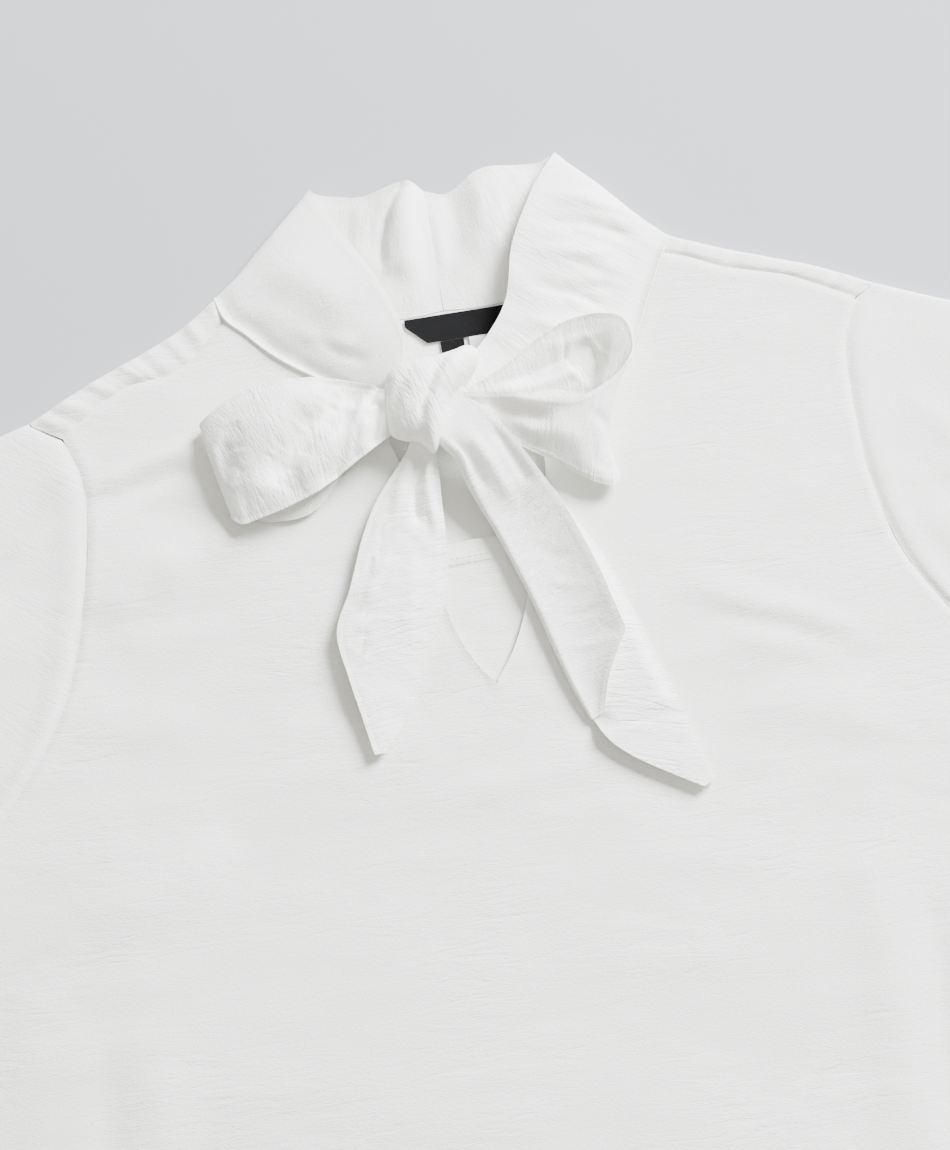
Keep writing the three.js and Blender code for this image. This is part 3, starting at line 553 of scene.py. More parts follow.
underarm = (252, -205)
hemEdge = {"x": 280, "y": hemY, "rise": 12}
centreBack = (2, 22)
slitFoot = (-3, -155)
halves = {
    "left": {
        "side": -1,
        "shoulderEdge": [(-102, 44), (-118, 33), (-135, 25), (-165, 13), (-194, -1)],
        "shoulderSeam": [(-98, 33), (-107, 26), (-117, 16), (-127, 11), (-146, 9), (-162, 2), (-180, -11)],
        "armhole": [(-180, -11), (-174, -31), (-174, -52), (-182, -94), (-198, -138), (-224, -174),
                    (-252, -205)],
        "backNeck": [(2, 22), (-16, 21), (-42, 24), (-72, 31), (-99, 42)],
        "frontNeck": [(-33, -36), (-39, -19), (-49, -9), (-62, 0), (-78, 12), (-92, 27), (-98, 33)],
        "slit": [(-33, -36), (-29, -52), (-25, -85), (-20, -116), (-16, -132), (-9, -147), (-3, -155)],
    },
    "right": {
        "side": 1,
        "shoulderEdge": [(111, 40), (134, 30), (155, 22), (178, 13), (200, 2)],
        "shoulderSeam": [(106, 32), (118, 28), (132, 21), (148, 16), (163, 11), (191, -4)],
        "armhole": [(191, -4), (183, -22), (180, -52), (181, -90), (190, -128), (206, -157),
                    (227, -183), (252, -205)],
        "backNeck": [(2, 22), (20, 21), (46, 23), (78, 29), (107, 39)],
        "frontNeck": [(36, -45), (52, -39), (70, -28), (82, -14), (89, -2), (95, 11), (103, 26), (106, 32)],
        "slit": [(36, -45), (35, -64), (27, -95), (17, -120), (12, -132), (6, -143), (-3, -155)],
    },
}


def turned(base, out, reach, middle, rise, parts):
    # rows round a turned edge: part 0 is underneath, 0.5 farthest out and 1 on top
    rows = []
    for part in parts:
        angle = math.pi * (part - 0.5)
        row = base + out * reach * math.cos(angle)
        row[..., 2] = middle + rise * math.sin(angle)
        rows.append(row)
    return rows


neckShare = 8 / 13    # of the chest's width, in the columns of front and back


def chestShares(piece):
    return np.concatenate([np.linspace(0, neckShare, piece["neckParts"] + 1),
                           np.linspace(neckShare, 1, piece["shoulderParts"] + 1)[1:]])


def chestLine(side, us):
    return np.column_stack([side * underarm[0] * us, np.full(len(us), underarm[1]), np.zeros(len(us))])


def sideAt(y):
    return underarm[0] + (hemEdge["x"] - underarm[0]) * (underarm[1] - y) / (underarm[1] - hemEdge["y"])


# Front: its long soft folds, the darts and the small folds that the photograph shows

front = {
    "neckParts": 46, "shoulderParts": 44, "upperRows": 88, "lowerRows": 104,
    "sideEase": 34, "sideRun": 80, "centreFrom": -60, "centreRun": 120,
    "folds": [
        ([(172, -262), (166, -330), (158, -420)], 8, -1.5, 0.3),
        ([(150, -238), (146, -310), (138, -400)], 13, 1.5, 0.3),
        ([(206, -270), (212, -350), (206, -430)], 16, 0.9, 0.3),
        ([(-206, -238), (-170, -226), (-124, -204)], 12, 1.9, 0.35),
        ([(-196, -262), (-202, -330), (-206, -440)], 9, -1.1, 0.3),
        ([(-176, -262), (-180, -340), (-188, -430)], 13, 1.2, 0.3),
        ([(-177, -40), (-154, -32), (-134, -27), (-108, -24)], 4.6, 1.9, 0.3),
        ([(-177, -49), (-154, -41), (-132, -36), (-106, -33)], 5, -1.4, 0.3),
        ([(-172, -56), (-125, -54), (-85, -50)], 7, -0.9, 0.4),
        ([(-170, -76), (-120, -72), (-79, -67)], 8, 1.3, 0.4),
        ([(-192, -112), (-150, -110), (-108, -109)], 9, 1.4, 0.4),
        ([(-182, -100), (-156, -84), (-122, -76)], 11, 2.3, 0.35),
        ([(-188, -126), (-156, -108), (-116, -100)], 11, -1.4, 0.35),
        ([(-200, -140), (-160, -150), (-120, -150)], 10, 1.1, 0.4),
        ([(74, -116), (120, -140), (178, -166)], 8, 1.6, 0.35),
        ([(86, -134), (125, -150), (165, -166)], 6, -1.3, 0.4),
        ([(94, -146), (130, -160), (160, -172)], 7, 1.0, 0.4),
        ([(176, -84), (140, -92), (100, -104)], 10, 1.2, 0.4),
        ([(180, -204), (140, -190), (96, -184)], 12, 1.5, 0.4),
        ([(-60, -206), (0, -200), (52, -196)], 9, 0.8, 0.4),
        ([(-40, -224), (10, -218), (70, -222)], 8, 0.5, 0.4),
        ([(-100, -350), (-88, -450), (-60, -590)], 15, 2.2, 0.3),
        ([(-132, -380), (-122, -470), (-104, -580)], 9, -1.3, 0.3),
        ([(60, -370), (74, -470), (84, -590)], 17, 2.0, 0.3),
        ([(112, -400), (120, -480), (118, -576)], 8, 1.2, 0.3),
        ([(-206, -450), (-214, -530), (-216, -600)], 12, 1.9, 0.3),
        ([(190, -440), (204, -520), (212, -600)], 12, 1.9, 0.3),
        ([(-30, -430), (-10, -500), (4, -596)], 12, -1.3, 0.3),
        ([(20, -480), (28, -540), (44, -600)], 9, 1.1, 0.3),
        ([(-240, -330), (-216, -372), (-176, -400)], 9, 1.3, 0.35),
        ([(244, -350), (214, -384), (168, -398)], 9, 1.2, 0.35),
    ],
    "darts": [
        ([(-262, -258), (-236, -250), (-205, -239)], 2.0, -0.9, 0.25),
        ([(262, -258), (215, -246), (160, -235)], 2.0, -0.9, 0.25),
    ],
    "seamWidth": 1.7, "seamDepth": 0.85, "puffWidth": 5.44, "puff": 0.2975, "lipWidth": 1.6, "lip": 0.6,
    "slitShare": 10 / 12, "rowEase": 1.22, "neckGap": 0.1, "shoulderGap": 0.08,
}


def frontBase(x, y):
    below = smooth((underarm[1] - y) / front["sideRun"])
    sunk = smooth((front["centreFrom"] - y) / front["centreRun"])
    middle = layers["frontHigh"] + (layers["frontCentre"] - layers["frontHigh"]) * sunk
    edge = layers["frontHigh"] + (layers["frontLow"] - layers["frontHigh"]) * below
    level = np.minimum(y, underarm[1])
    near = smooth((np.abs(x) - sideAt(level) + front["sideEase"]) / front["sideEase"])
    return middle + (edge - middle) * near, near


seamLines = []
for half in halves.values():
    for outline in ("frontNeck", "shoulderSeam", "armhole"):
        seamLines.append(splineAt(half[outline], even(26))[:, :2])


def frontAt(x, y, fine=True):
    base, near = frontBase(x, y)
    relief = creased(x, y, front["folds"] + front["darts"])
    relief = relief + 0.34 * softNoise(x, y, 70, 34, 11) + 0.14 * softNoise(x + y * 0.3, y, 40, 13, 12)
    height = base + relief * (1 - near)
    if fine:
        height = height + crepeRelief(x, y, 1.0, 21)
    return np.maximum(height, layers["frontLow"] - 0.25)


def frontDetail(x, y):
    # dip of the cloth into the seams, and the turned lip of the slit
    def along(lines, width, height):
        return creased(x, y, [(line, width, height, 0) for line in lines])

    slits = [splineAt(half["slit"], even(20))[:, :2] for half in halves.values()]
    seams = along(seamLines, front["seamWidth"], -front["seamDepth"])
    puff = along(seamLines, front["puffWidth"], front["puff"])
    lip = along(slits, front["lipWidth"], front["lip"])
    return np.maximum(seams, -front["seamDepth"] * 1.1) + puff + lip


def lowerGrid(side, levels, parts):
    level = np.asarray(levels, float)[:, None]
    part = np.asarray(parts, float)[None, :]
    drop = (level - underarm[1]) / (hemEdge["y"] - underarm[1])
    y = level + hemEdge["rise"] * drop * part * part
    x = side * part * sideAt(y)
    return np.stack([x, y, np.zeros_like(x)], axis=2)


# The hem is turned up once and stitched. Grooves and ridges are given by height, distance from
# the edge and half width, in all pieces.
hem = {
    "turn": 20.0, "groove": (-0.3, 20.0, 0.7), "lip": 0.25, "lipRun": 1.2, "edge": (-0.2, 0, 0.8), "x": 278,
    "levels": np.array([21.6, 20.9, 20.3, 19.7, 19.1, 18.0, 14.0, 9.0, 5.0, 2.5, 1.2, 0.5, 0.0]),
}


def hemRelief(y, x):
    part = np.clip(np.abs(x) / hemEdge["x"], 0, 1)
    above = y - (hemEdge["y"] + hemEdge["rise"] * part * part)
    lip = hem["lip"] * smooth((hem["turn"] - above) / hem["lipRun"])
    return ridge(above, *hem["groove"]) + lip + ridge(above, *hem["edge"])


def bodyMap(grid):
    return grid[..., :2].copy()


def makeFront():
    grids = []
    slitShare = front["slitShare"]
    for half in halves.values():
        side = half["side"]
        neck = sidestep(splineAt(half["frontNeck"], even(front["neckParts"])), -side * front["neckGap"])
        shoulder = sidestep(splineAt(half["shoulderSeam"], even(front["shoulderParts"])),
                            -side * front["shoulderGap"])
        shoulder[0] = neck[-1]
        top = np.vstack([neck, shoulder[1:]])
        us = chestShares(front)
        vs = even(front["upperRows"]) ** front["rowEase"]
        slit = splineAt(half["slit"], np.clip(vs / slitShare, 0, 1))
        below = np.clip((vs - slitShare) / (1 - slitShare), 0, 1)
        start = slit.copy()
        start[:, 0] -= below * slitFoot[0]
        start[:, 1] += below * (underarm[1] - slitFoot[1])
        start[0] = neck[0]
        end = splineAt(half["armhole"], vs)
        end[0] = top[-1]
        upper = coons(top, chestLine(side, us), start, end, us, vs)
        fall = hemEdge["y"] + hem["turn"] + 3 - underarm[1]
        levels = np.concatenate([underarm[1] + fall * even(front["lowerRows"]),
                                 hemEdge["y"] + hem["levels"]])
        lower = lowerGrid(side, levels, us)
        lower[0] = upper[-1]
        for grid in (upper, lower):
            x, y = grid[..., 0], grid[..., 1]
            grid[..., 2] = frontAt(x, y) + frontDetail(x, y) + hemRelief(y, x)
            grids.append(turnedOver(grid, side))
    obj = makeCloth("frontPanel", grids, [bodyMap(g) for g in grids], "body", "front", bodyCrepe)


makeFront()
print("front made")


# Back: flat on the surface, with a strip over each shoulder that turns forward to the seam

back = {"neckParts": 26, "shoulderParts": 64, "armRows": 46, "lowerRows": 34, "stripRows": 12,
        "turnRows": 7, "tipGap": 0.05, "stripPuff": {-1: 0.9, 1: 0.35}, "pucker": 0.6, "endRun": 5,
        "neckDrop": (0.3, 0.3), "armDrop": (0.74, -0.45)}    # at the fold, and what the seam side adds


def shoulderLines(half, count):
    edge = splineAt(half["shoulderEdge"], even(count))
    run = (edge[1] - edge[0]) / np.linalg.norm(edge[1] - edge[0])
    edge[0] += run * back["tipGap"]
    return edge, sidestep(edge, -half["side"] * roll)


def shoulderStrip(half, edge, axis, first):
    side = half["side"]
    arc = back["turnRows"]
    puff = back["stripPuff"][side]
    out = edge - axis
    out /= np.linalg.norm(out, axis=1)[:, None]
    strip = turned(axis, out, roll, edgeMiddle, edgeRise, even(arc))
    strip[0] = first
    seam = sidestep(splineAt(half["shoulderSeam"], even(back["shoulderParts"])),
                    side * front["shoulderGap"])
    seam[:, 2] = layers["frontHigh"] - front["seamDepth"]
    for part in even(back["stripRows"])[1:]:
        row = strip[arc] * (1 - part) + seam * part
        row[:, 2] = layers["frontHigh"] + puff * math.sin(math.pi * part) ** 0.8
        row[:, 2] -= front["seamDepth"] * math.exp(-((1 - part) * 4.5) ** 2)
        strip.append(row)
    strip = np.stack(strip)
    # puckers run across the strip, each a little different
    along = lengthsAlong(edge)
    flat = np.zeros_like(along)
    lift = softNoise(along, flat, 5.2, 9, 31 + side) + 0.6 * softNoise(along, flat, 2.6, 9, 41 + side)
    share = np.concatenate([smooth(even(arc) * 1.4 - 0.4),
                            np.linspace(1, 0.55, back["stripRows"])])[:, None]
    neckRun, armRun = smooth(along / back["endRun"]), smooth((along[-1] - along) / back["endRun"])
    strip[..., 2] += back["pucker"] * lift[None, :] * share * (neckRun * armRun)[None, :]
    run = even(back["stripRows"])[:, None]
    for near, (fold, seamSide) in ((neckRun, back["neckDrop"]), (armRun, back["armDrop"])):
        drop = fold + seamSide * run + puff * np.sin(math.pi * run) ** 0.8
        strip[arc:, :, 2] -= (1 - near[None, :]) * drop
    return strip


def makeBack():
    grids = []
    for half in halves.values():
        side = half["side"]
        edge, axis = shoulderLines(half, back["shoulderParts"])
        neck = sidestep(splineAt(half["backNeck"], even(back["neckParts"])), -side * 0.1)
        neck[0, 0] = centreBack[0]
        neck[-1] = axis[0]
        top = np.vstack([neck, axis[1:]])
        us = chestShares(back)
        vs = even(back["armRows"])
        start = np.column_stack([np.interp(vs, [0, 1], [centreBack[0], 0]),
                                 np.interp(vs, [0, 1], [neck[0, 1], underarm[1]]), np.zeros(len(vs))])
        start[0] = top[0]
        hole = np.vstack([axis[-1], splineAt(half["armhole"], even(back["armRows"] - 1))])
        upper = coons(top, chestLine(side, us), start, hole, us, vs)
        upper[..., 2] = layers["back"]
        levels = underarm[1] + (hemEdge["y"] - underarm[1]) * even(back["lowerRows"])
        lower = lowerGrid(side, levels, us)
        lower[0] = upper[-1]
        lower[..., 2] = layers["back"]
        strip = shoulderStrip(half, edge, axis, upper[0, back["neckParts"]:])
        grids += [turnedOver(grid, side) for grid in (upper, lower, strip)]
    obj = makeCloth("backPanel", grids, [bodyMap(g) for g in grids], "body", "back", bodyCrepe)


makeBack()
print("back made")


# Sleeves: flat tubes, open at the armhole and the cuff

sleeve = {
    "rows": 92, "columns": 56, "lowColumns": 16, "turn": 6, "length": 610, "armGap": 0.12, "tuck": 0.7,
    "tuckGroove": (-0.9, 0, 0.5), "swell": 0.7, "headRidge": (0.8, 7, 7), "seamRun": 1.8,
    "foldSize": 1.7, "capShare": 1 / 13, "rowEase": 1.25, "underarmGap": 0.6,
    "top": [(235, -13), (290, -33), (350, -63), (400, -100), (440, -148), (530, -300), (616, -445)],
    "under": [(286, -222), (322, -260), (400, -360), (523, -518)],
    "folds": {
        "left": [
            ([(-180, -42), (-191, -47), (-204, -62), (-218, -78), (-240, -106)], 4.2, 1.6, 0.25),
            ([(-183, -33), (-196, -42), (-210, -57), (-226, -76)], 4, -1.2, 0.3),
            ([(-196, -26), (-232, -50), (-272, -78)], 7, 1.2, 0.35),
            ([(-184, -60), (-222, -84), (-262, -104)], 5, -1.0, 0.35),
            ([(-190, -84), (-228, -112), (-270, -138)], 7, 1.2, 0.35),
            ([(-200, -122), (-236, -148), (-276, -176)], 7, 0.9, 0.35),
            ([(-222, -160), (-256, -184), (-294, -214)], 7, 0.9, 0.35),
            ([(-250, -34), (-300, -60), (-346, -88)], 9, 1.0, 0.35),
            ([(-330, -150), (-366, -196), (-392, -250)], 10, 1.2, 0.35),
            ([(-372, -252), (-420, -268), (-470, -270)], 8, 1.7, 0.35),
            ([(-384, -284), (-426, -308), (-480, -306)], 7, -1.3, 0.35),
            ([(-400, -330), (-442, -338), (-496, -322)], 8, 1.5, 0.35),
            ([(-470, -370), (-508, -424), (-540, -480)], 9, 1.4, 0.35),
            ([(-524, -372), (-552, -416), (-580, -456)], 8, 1.1, 0.35),
        ],
        "right": [
            ([(188, -36), (212, -64), (238, -96)], 6, 1.2, 0.35),
            ([(184, -60), (208, -92), (236, -126)], 5, -0.9, 0.35),
            ([(188, -92), (214, -126), (244, -160)], 6, 1.2, 0.35),
            ([(206, -136), (232, -164), (262, -194)], 6, 0.9, 0.35),
            ([(214, -22), (246, -50), (282, -86)], 8, 1.1, 0.35),
            ([(252, -34), (300, -58), (340, -80)], 9, 0.9, 0.35),
            ([(320, -146), (356, -200), (380, -246)], 10, 1.2, 0.35),
            ([(368, -242), (414, -262), (464, -254)], 8, 1.7, 0.35),
            ([(380, -276), (430, -300), (474, -290)], 7, -1.3, 0.35),
            ([(404, -322), (446, -336), (500, -334)], 8, 1.5, 0.35),
            ([(462, -374), (504, -420), (534, -474)], 9, 1.4, 0.35),
            ([(530, -384), (560, -426), (584, -464)], 8, 1.1, 0.35),
        ],
    },
}


def outward(away):
    flat = away * [1, 1, 0]
    return flat / np.linalg.norm(flat, axis=1)[:, None]


def sleeveForm(half, us, vs, tuck):
    # flat form between armhole, cuff and turned edges, and the way out of the upper turn
    side = half["side"]
    axis = shoulderLines(half, back["shoulderParts"])[1]
    first = sleeve["capShare"]
    hole = splineAt(half["armhole"], np.clip((us - first) / (1 - first), 0, 1))
    lead = us < first
    hole[lead] = axis[-1] + (hole[np.argmin(lead)] - axis[-1]) * (us[lead] / first)[:, None]
    offset = side * (sleeve["armGap"] - (sleeve["armGap"] + sleeve["tuck"]) * tuck)
    start = hole + (sidestep(hole, 1.0) - hole) * offset[:, None]
    inward = start[-2] - start[-1]
    start[-1] = start[-1] + inward / np.linalg.norm(inward) * sleeve["underarmGap"]
    mirror = np.array([side, 1])
    upperLine = splineAt(np.vstack([half["shoulderEdge"][-1], sleeve["top"] * mirror]), vs)
    underLine = splineAt(np.vstack([underarm, sleeve["under"]]) * mirror, vs)
    upperEdge = sidestep(upperLine, -side * roll)
    underEdge = sidestep(underLine, side * roll)
    upperEdge[0] = start[0]
    underEdge[0] = start[-1]
    cuff = upperEdge[-1] * (1 - us[:, None]) + underEdge[-1] * us[:, None]
    return coons(start, cuff, upperEdge, underEdge, us, vs), upperLine - upperEdge


def makeSleeve(name):
    half = halves[name]
    side = half["side"]
    vs = np.concatenate([[0, 0.0012], even(sleeve["rows"])[1:] ** sleeve["rowEase"]])
    us = even(sleeve["columns"])
    # its head starts a little under the strip's end
    tuck = smooth((sleeve["capShare"] * 1.3 - us) / (sleeve["capShare"] * 0.5))
    grid, upward = sleeveForm(half, us, vs, tuck)
    x, y = grid[..., 0], grid[..., 1]
    part = us[None, :]
    along = vs[:, None]
    down = along * sleeve["length"]
    fade = smooth(part * 6) * smooth((1 - part) * 6)
    folds = sleeve["foldSize"] * creased(x, y, sleeve["folds"][name]) + 0.4 * softNoise(x, y, 40, 22, 51)
    puff = ridge(down, *sleeve["headRidge"])
    dip = (ridge(down, -front["seamDepth"], 0, sleeve["seamRun"])
           + ridge(down, *sleeve["tuckGroove"]) * tuck[None, :])
    rise = (sleeve["swell"] * np.sin(math.pi * part) + folds * fade) * smooth(along * 7)
    rise = rise + puff * fade + dip
    top = grid.copy()
    top[..., 2] = layers["frontHigh"] + rise + crepeRelief(x, y, 1.3, 57) * fade
    low = grid[:, np.linspace(sleeve["columns"], 0, sleeve["lowColumns"] + 1).astype(int)].copy()
    low[..., 2] = layers["back"]
    nextUp = np.maximum(np.arange(len(vs)), 1)
    rising = even(sleeve["turn"] + 1)[1:-1]
    under, over = (np.stack(turned(points, outward(away), roll, edgeMiddle, edgeRise, parts), axis=1)
                   for points, away, parts in ((grid[:, -1], grid[:, -1] - grid[:, -2], 1 - rising),
                                               (grid[:, 0], upward[nextUp], rising)))
    dipping = top[:, :1, 2] - layers["frontHigh"]
    over[..., 2] += dipping * np.linspace(0, 1, over.shape[1] + 1)[1:]
    ring = np.concatenate([top, under, low, over, top[:, :1]], axis=1)
    axisDir = np.array([side * 0.62, -0.785])
    alongMap = ring[..., 0] * axisDir[0] + ring[..., 1] * axisDir[1]
    acrossMap = np.zeros(ring.shape[:2])
    acrossMap[:, 1:] = np.cumsum(np.linalg.norm(np.diff(ring, axis=1), axis=2), axis=1)
    maps = np.stack([acrossMap, alongMap], axis=2)
    obj = makeCloth("sleeve" + name.capitalize(), [turnedOver(ring, side)], [turnedOver(maps, side)],
                    "body", "sleeve_" + name, sleeveCrepe)


for sideName in halves:
    makeSleeve(sideName)
print("sleeves made")


# Collar halves, from the centre back round the turned side and down to the knot. In each row
# the free edge is tx, ty, tz, and arch is the rise between it and the foot. Their places along
# the foot are the same on both sides.

collar = {
    "steps": 152, "columns": 40, "footRows": 7, "frontRows": 6, "wide": 58, "tuckedIn": 0.4,
    "footGroove": (-1.9, 0, 0.8), "footRidge": (0.6, 4, 2.8), "edgeGroove": (-0.25, 2.6, 0.9),
    "at": [0, 1, 3, 5, 6, 7, 8, 9, 10, 11, 13, 15, 17, 19],
    "left": {
        "rows": [(1.8, 80, 4, 0.5), (-6, 85, 9, 2), (-26, 82, 4, 1), (-40, 85, 2.2, 0), (-46, 86.5, 2.2, 0),
                 (-49.5, 88.6, 3.2, 0), (-50.6, 89, 5.6, 0.2), (-49.4, 86.8, 7.8, 0.8), (-46, 78, 9.2, 2),
                 (-40, 66, 11, 3), (-28, 42, 14, 3), (-20, 20, 15, 2.4), (-18.5, 5, 15, 1.8),
                 (-23, -8, 15, 1)],
        "ends": [(-42, -13, 6.3), (-36, -17, 8.4), (-24, -20, 10.5)], "flat": (0.19, 0.058),
        "rear": [([(-4, 86), (-16, 71), (-21, 57), (-22, 44)], 2.6, -1.6, 0.12),
                 ([(-8, 84), (-10, 66), (-12, 48), (-14, 34)], 5.0, 2.2, 0.3),
                 ([(-26, 84), (-30, 70), (-32, 56), (-30, 42)], 4.5, 1.3, 0.3),
                 ([(-1, 78), (-2, 56), (-3, 34)], 2.4, -0.7, 0.3)],
        "rearSteps": [([(-22, 40), (-21, 57), (-16, 71), (-5, 88)], 1.6, -1.6, 9)],
        "face": [([(-88, 46), (-66, 32), (-46, 14)], 7, -0.8, 0.35),
                 ([(-78, 58), (-56, 42), (-36, 20)], 8, 0.8, 0.35),
                 ([(-60, 18), (-48, 6), (-34, 0)], 3, -1.0, 0.3),
                 ([(-70, 22), (-52, 12), (-36, 8)], 3.4, 0.7, 0.3)],
    },
    "right": {
        "rows": [(2.2, 80, 4, 0.5), (12, 77.5, 3, 1), (30, 86, 6, 2), (48, 86, 3, 0.5), (58, 86, 2.4, 0),
                 (63.6, 88, 3.4, 0), (65.4, 88.4, 5.8, 0.2), (63.8, 86, 8, 0.8), (58, 79, 9.6, 2),
                 (51.5, 70, 11.4, 2.6), (38, 45, 13.4, 2.6), (31, 20, 13.6, 1.6), (20, 4, 13.4, 0.8),
                 (1, -14, 14, 0.4)],
        "ends": [(50, -35, 6), (34, -32, 8.6), (2, -27, 11)], "flat": (0.222, 0.058),
        "rear": [([(14, 82), (14, 62), (12, 40)], 4.0, -1.2, 0.3),
                 ([(28, 86), (26, 66), (22, 40)], 5.0, 1.2, 0.3),
                 ([(44, 84), (40, 66), (34, 44)], 4.0, -0.9, 0.3),
                 ([(5, 78), (5, 56), (5, 34)], 2.4, 0.7, 0.3)],
        "rearSteps": [],
        "face": [([(56, 66), (76, 62), (98, 50)], 4, 1.6, 0.35),
                 ([(48, 54), (70, 50), (100, 38)], 3, -1.5, 0.35),
                 ([(44, 40), (68, 36), (96, 22)], 4, 1.6, 0.35),
                 ([(38, 26), (60, 18), (84, 4)], 3, -1.6, 0.35),
                 ([(34, 10), (56, 0), (76, -14)], 3.4, 1.6, 0.35),
                 ([(42, 74), (34, 50), (33, 22)], 3, 0.6, 0.3)]
        + acrossFolds([(84, 66), (82, 50), (74, 30), (64, 6)], 26, 24, 1.8, 0.65, -0.2, 185),
    },
}


def collarFoot(half, ends):
    side = half["side"]
    rear = sidestep(splineAt(half["backNeck"], even(collar["footRows"]), 0.6), side * 0.1)
    rear[0, 0] = centreBack[0] + side * 0.15
    ahead = sidestep(splineAt(half["frontNeck"][::-1], even(8), layers["frontHigh"] + 0.2),
                     side * collar["tuckedIn"])
    edge, axis = shoulderLines(half, back["shoulderParts"])
    away = edge[0] - edge[1]
    base = axis[0] - away * collar["tuckedIn"] / np.linalg.norm(away)
    out = (edge[0] - axis[0]) / np.linalg.norm(edge[0] - axis[0])
    rear[-1, :2] = base[:2]
    turn = turned(base, out, roll - 0.8, edgeMiddle, edgeRise - 0.5, (0.3, 0.5, 0.7))
    return np.vstack([rear, turn, ahead[:collar["frontRows"]], ends])


def makeCollar(name):
    half = halves[name]
    side = half["side"]
    shape = collar[name]
    foot = collarFoot(half, np.array(shape["ends"], float))
    at = np.linspace(0, len(foot) - 1, collar["steps"] + 1)
    low = tableAt(np.arange(len(foot)), foot, at)
    row = tableAt(collar["at"], shape["rows"], at)
    v = even(collar["columns"])[None, :]
    grid = ruled(low, row[:, :3], v[0])
    grid[..., 2] += row[:, 3][:, None] * 4 * v * (1 - v)
    maps = arcs(grid)
    lift = crepeRelief(maps[..., 0], maps[..., 1], 1.4, 61 + side)
    lift += 0.3 * softNoise(maps[..., 0], maps[..., 1], 22, 12, 71 + side)
    lift *= smooth(v * 8)
    # the foot is pulled down into the neck seam, and stands up at once beside it
    fromFoot = v * collar["wide"]
    footing = ridge(fromFoot, *collar["footGroove"]) + ridge(fromFoot, *collar["footRidge"])
    lift += footing * smooth((at[:, None] - 9) / 2)
    # a groove inside the pressed edge
    fromEdge = (1 - v) * collar["wide"]
    lift += ridge(fromEdge, *collar["edgeGroove"])
    grid = grid + normalsOf(grid) * (lift * side)[..., None]
    rear = smooth((7.2 - at) / 0.8)[:, None] * smooth(v * 5)
    facing = smooth((at - 9.5) / 0.8)[:, None] * smooth(v * 5)
    x, y = grid[..., 0], grid[..., 1]
    grid[..., 2] += (creased(x, y, shape["rear"]) + stepped(x, y, shape["rearSteps"])) * rear
    grid[..., 2] += creased(x, y, shape["face"]) * facing
    grid[..., 2] = np.maximum(grid[..., 2], 0.6)
    obj = makeCloth("collar" + name.capitalize(), [turnedOver(grid, side)], [turnedOver(maps, side)],
                    "collar", "collar_" + name, collarCrepe)


for sideName in halves:
    makeCollar(sideName)
print("collar made")


# The bow. Rows of a band: ax, ay, az is its upper edge in plan, bx, by, bz the lower one,
# arch the rise between them and pull a shift along x.

def bandGrid(rows, steps, columns):
    row, at = rowsAt(rows, steps)
    v = even(columns)
    grid = ruled(row[:, :3], row[:, 3:6], v)
    bow = 4 * v * (1 - v)
    grid[..., 2] += row[:, 6][:, None] * bow
    grid[..., 0] += row[:, 7][:, None] * bow
    return grid, at


bandSeam = {"ridge": (0.22, 0, 1.2), "groove": (-0.24, 2.4, 0.8)}    # pressed to the band's edges


def bandEdge(maps):
    across = maps[..., 0]
    reach = np.minimum(across - across.min(axis=1)[:, None], across.max(axis=1)[:, None] - across)
    return ridge(reach, *bandSeam["ridge"]) + ridge(reach, *bandSeam["groove"])


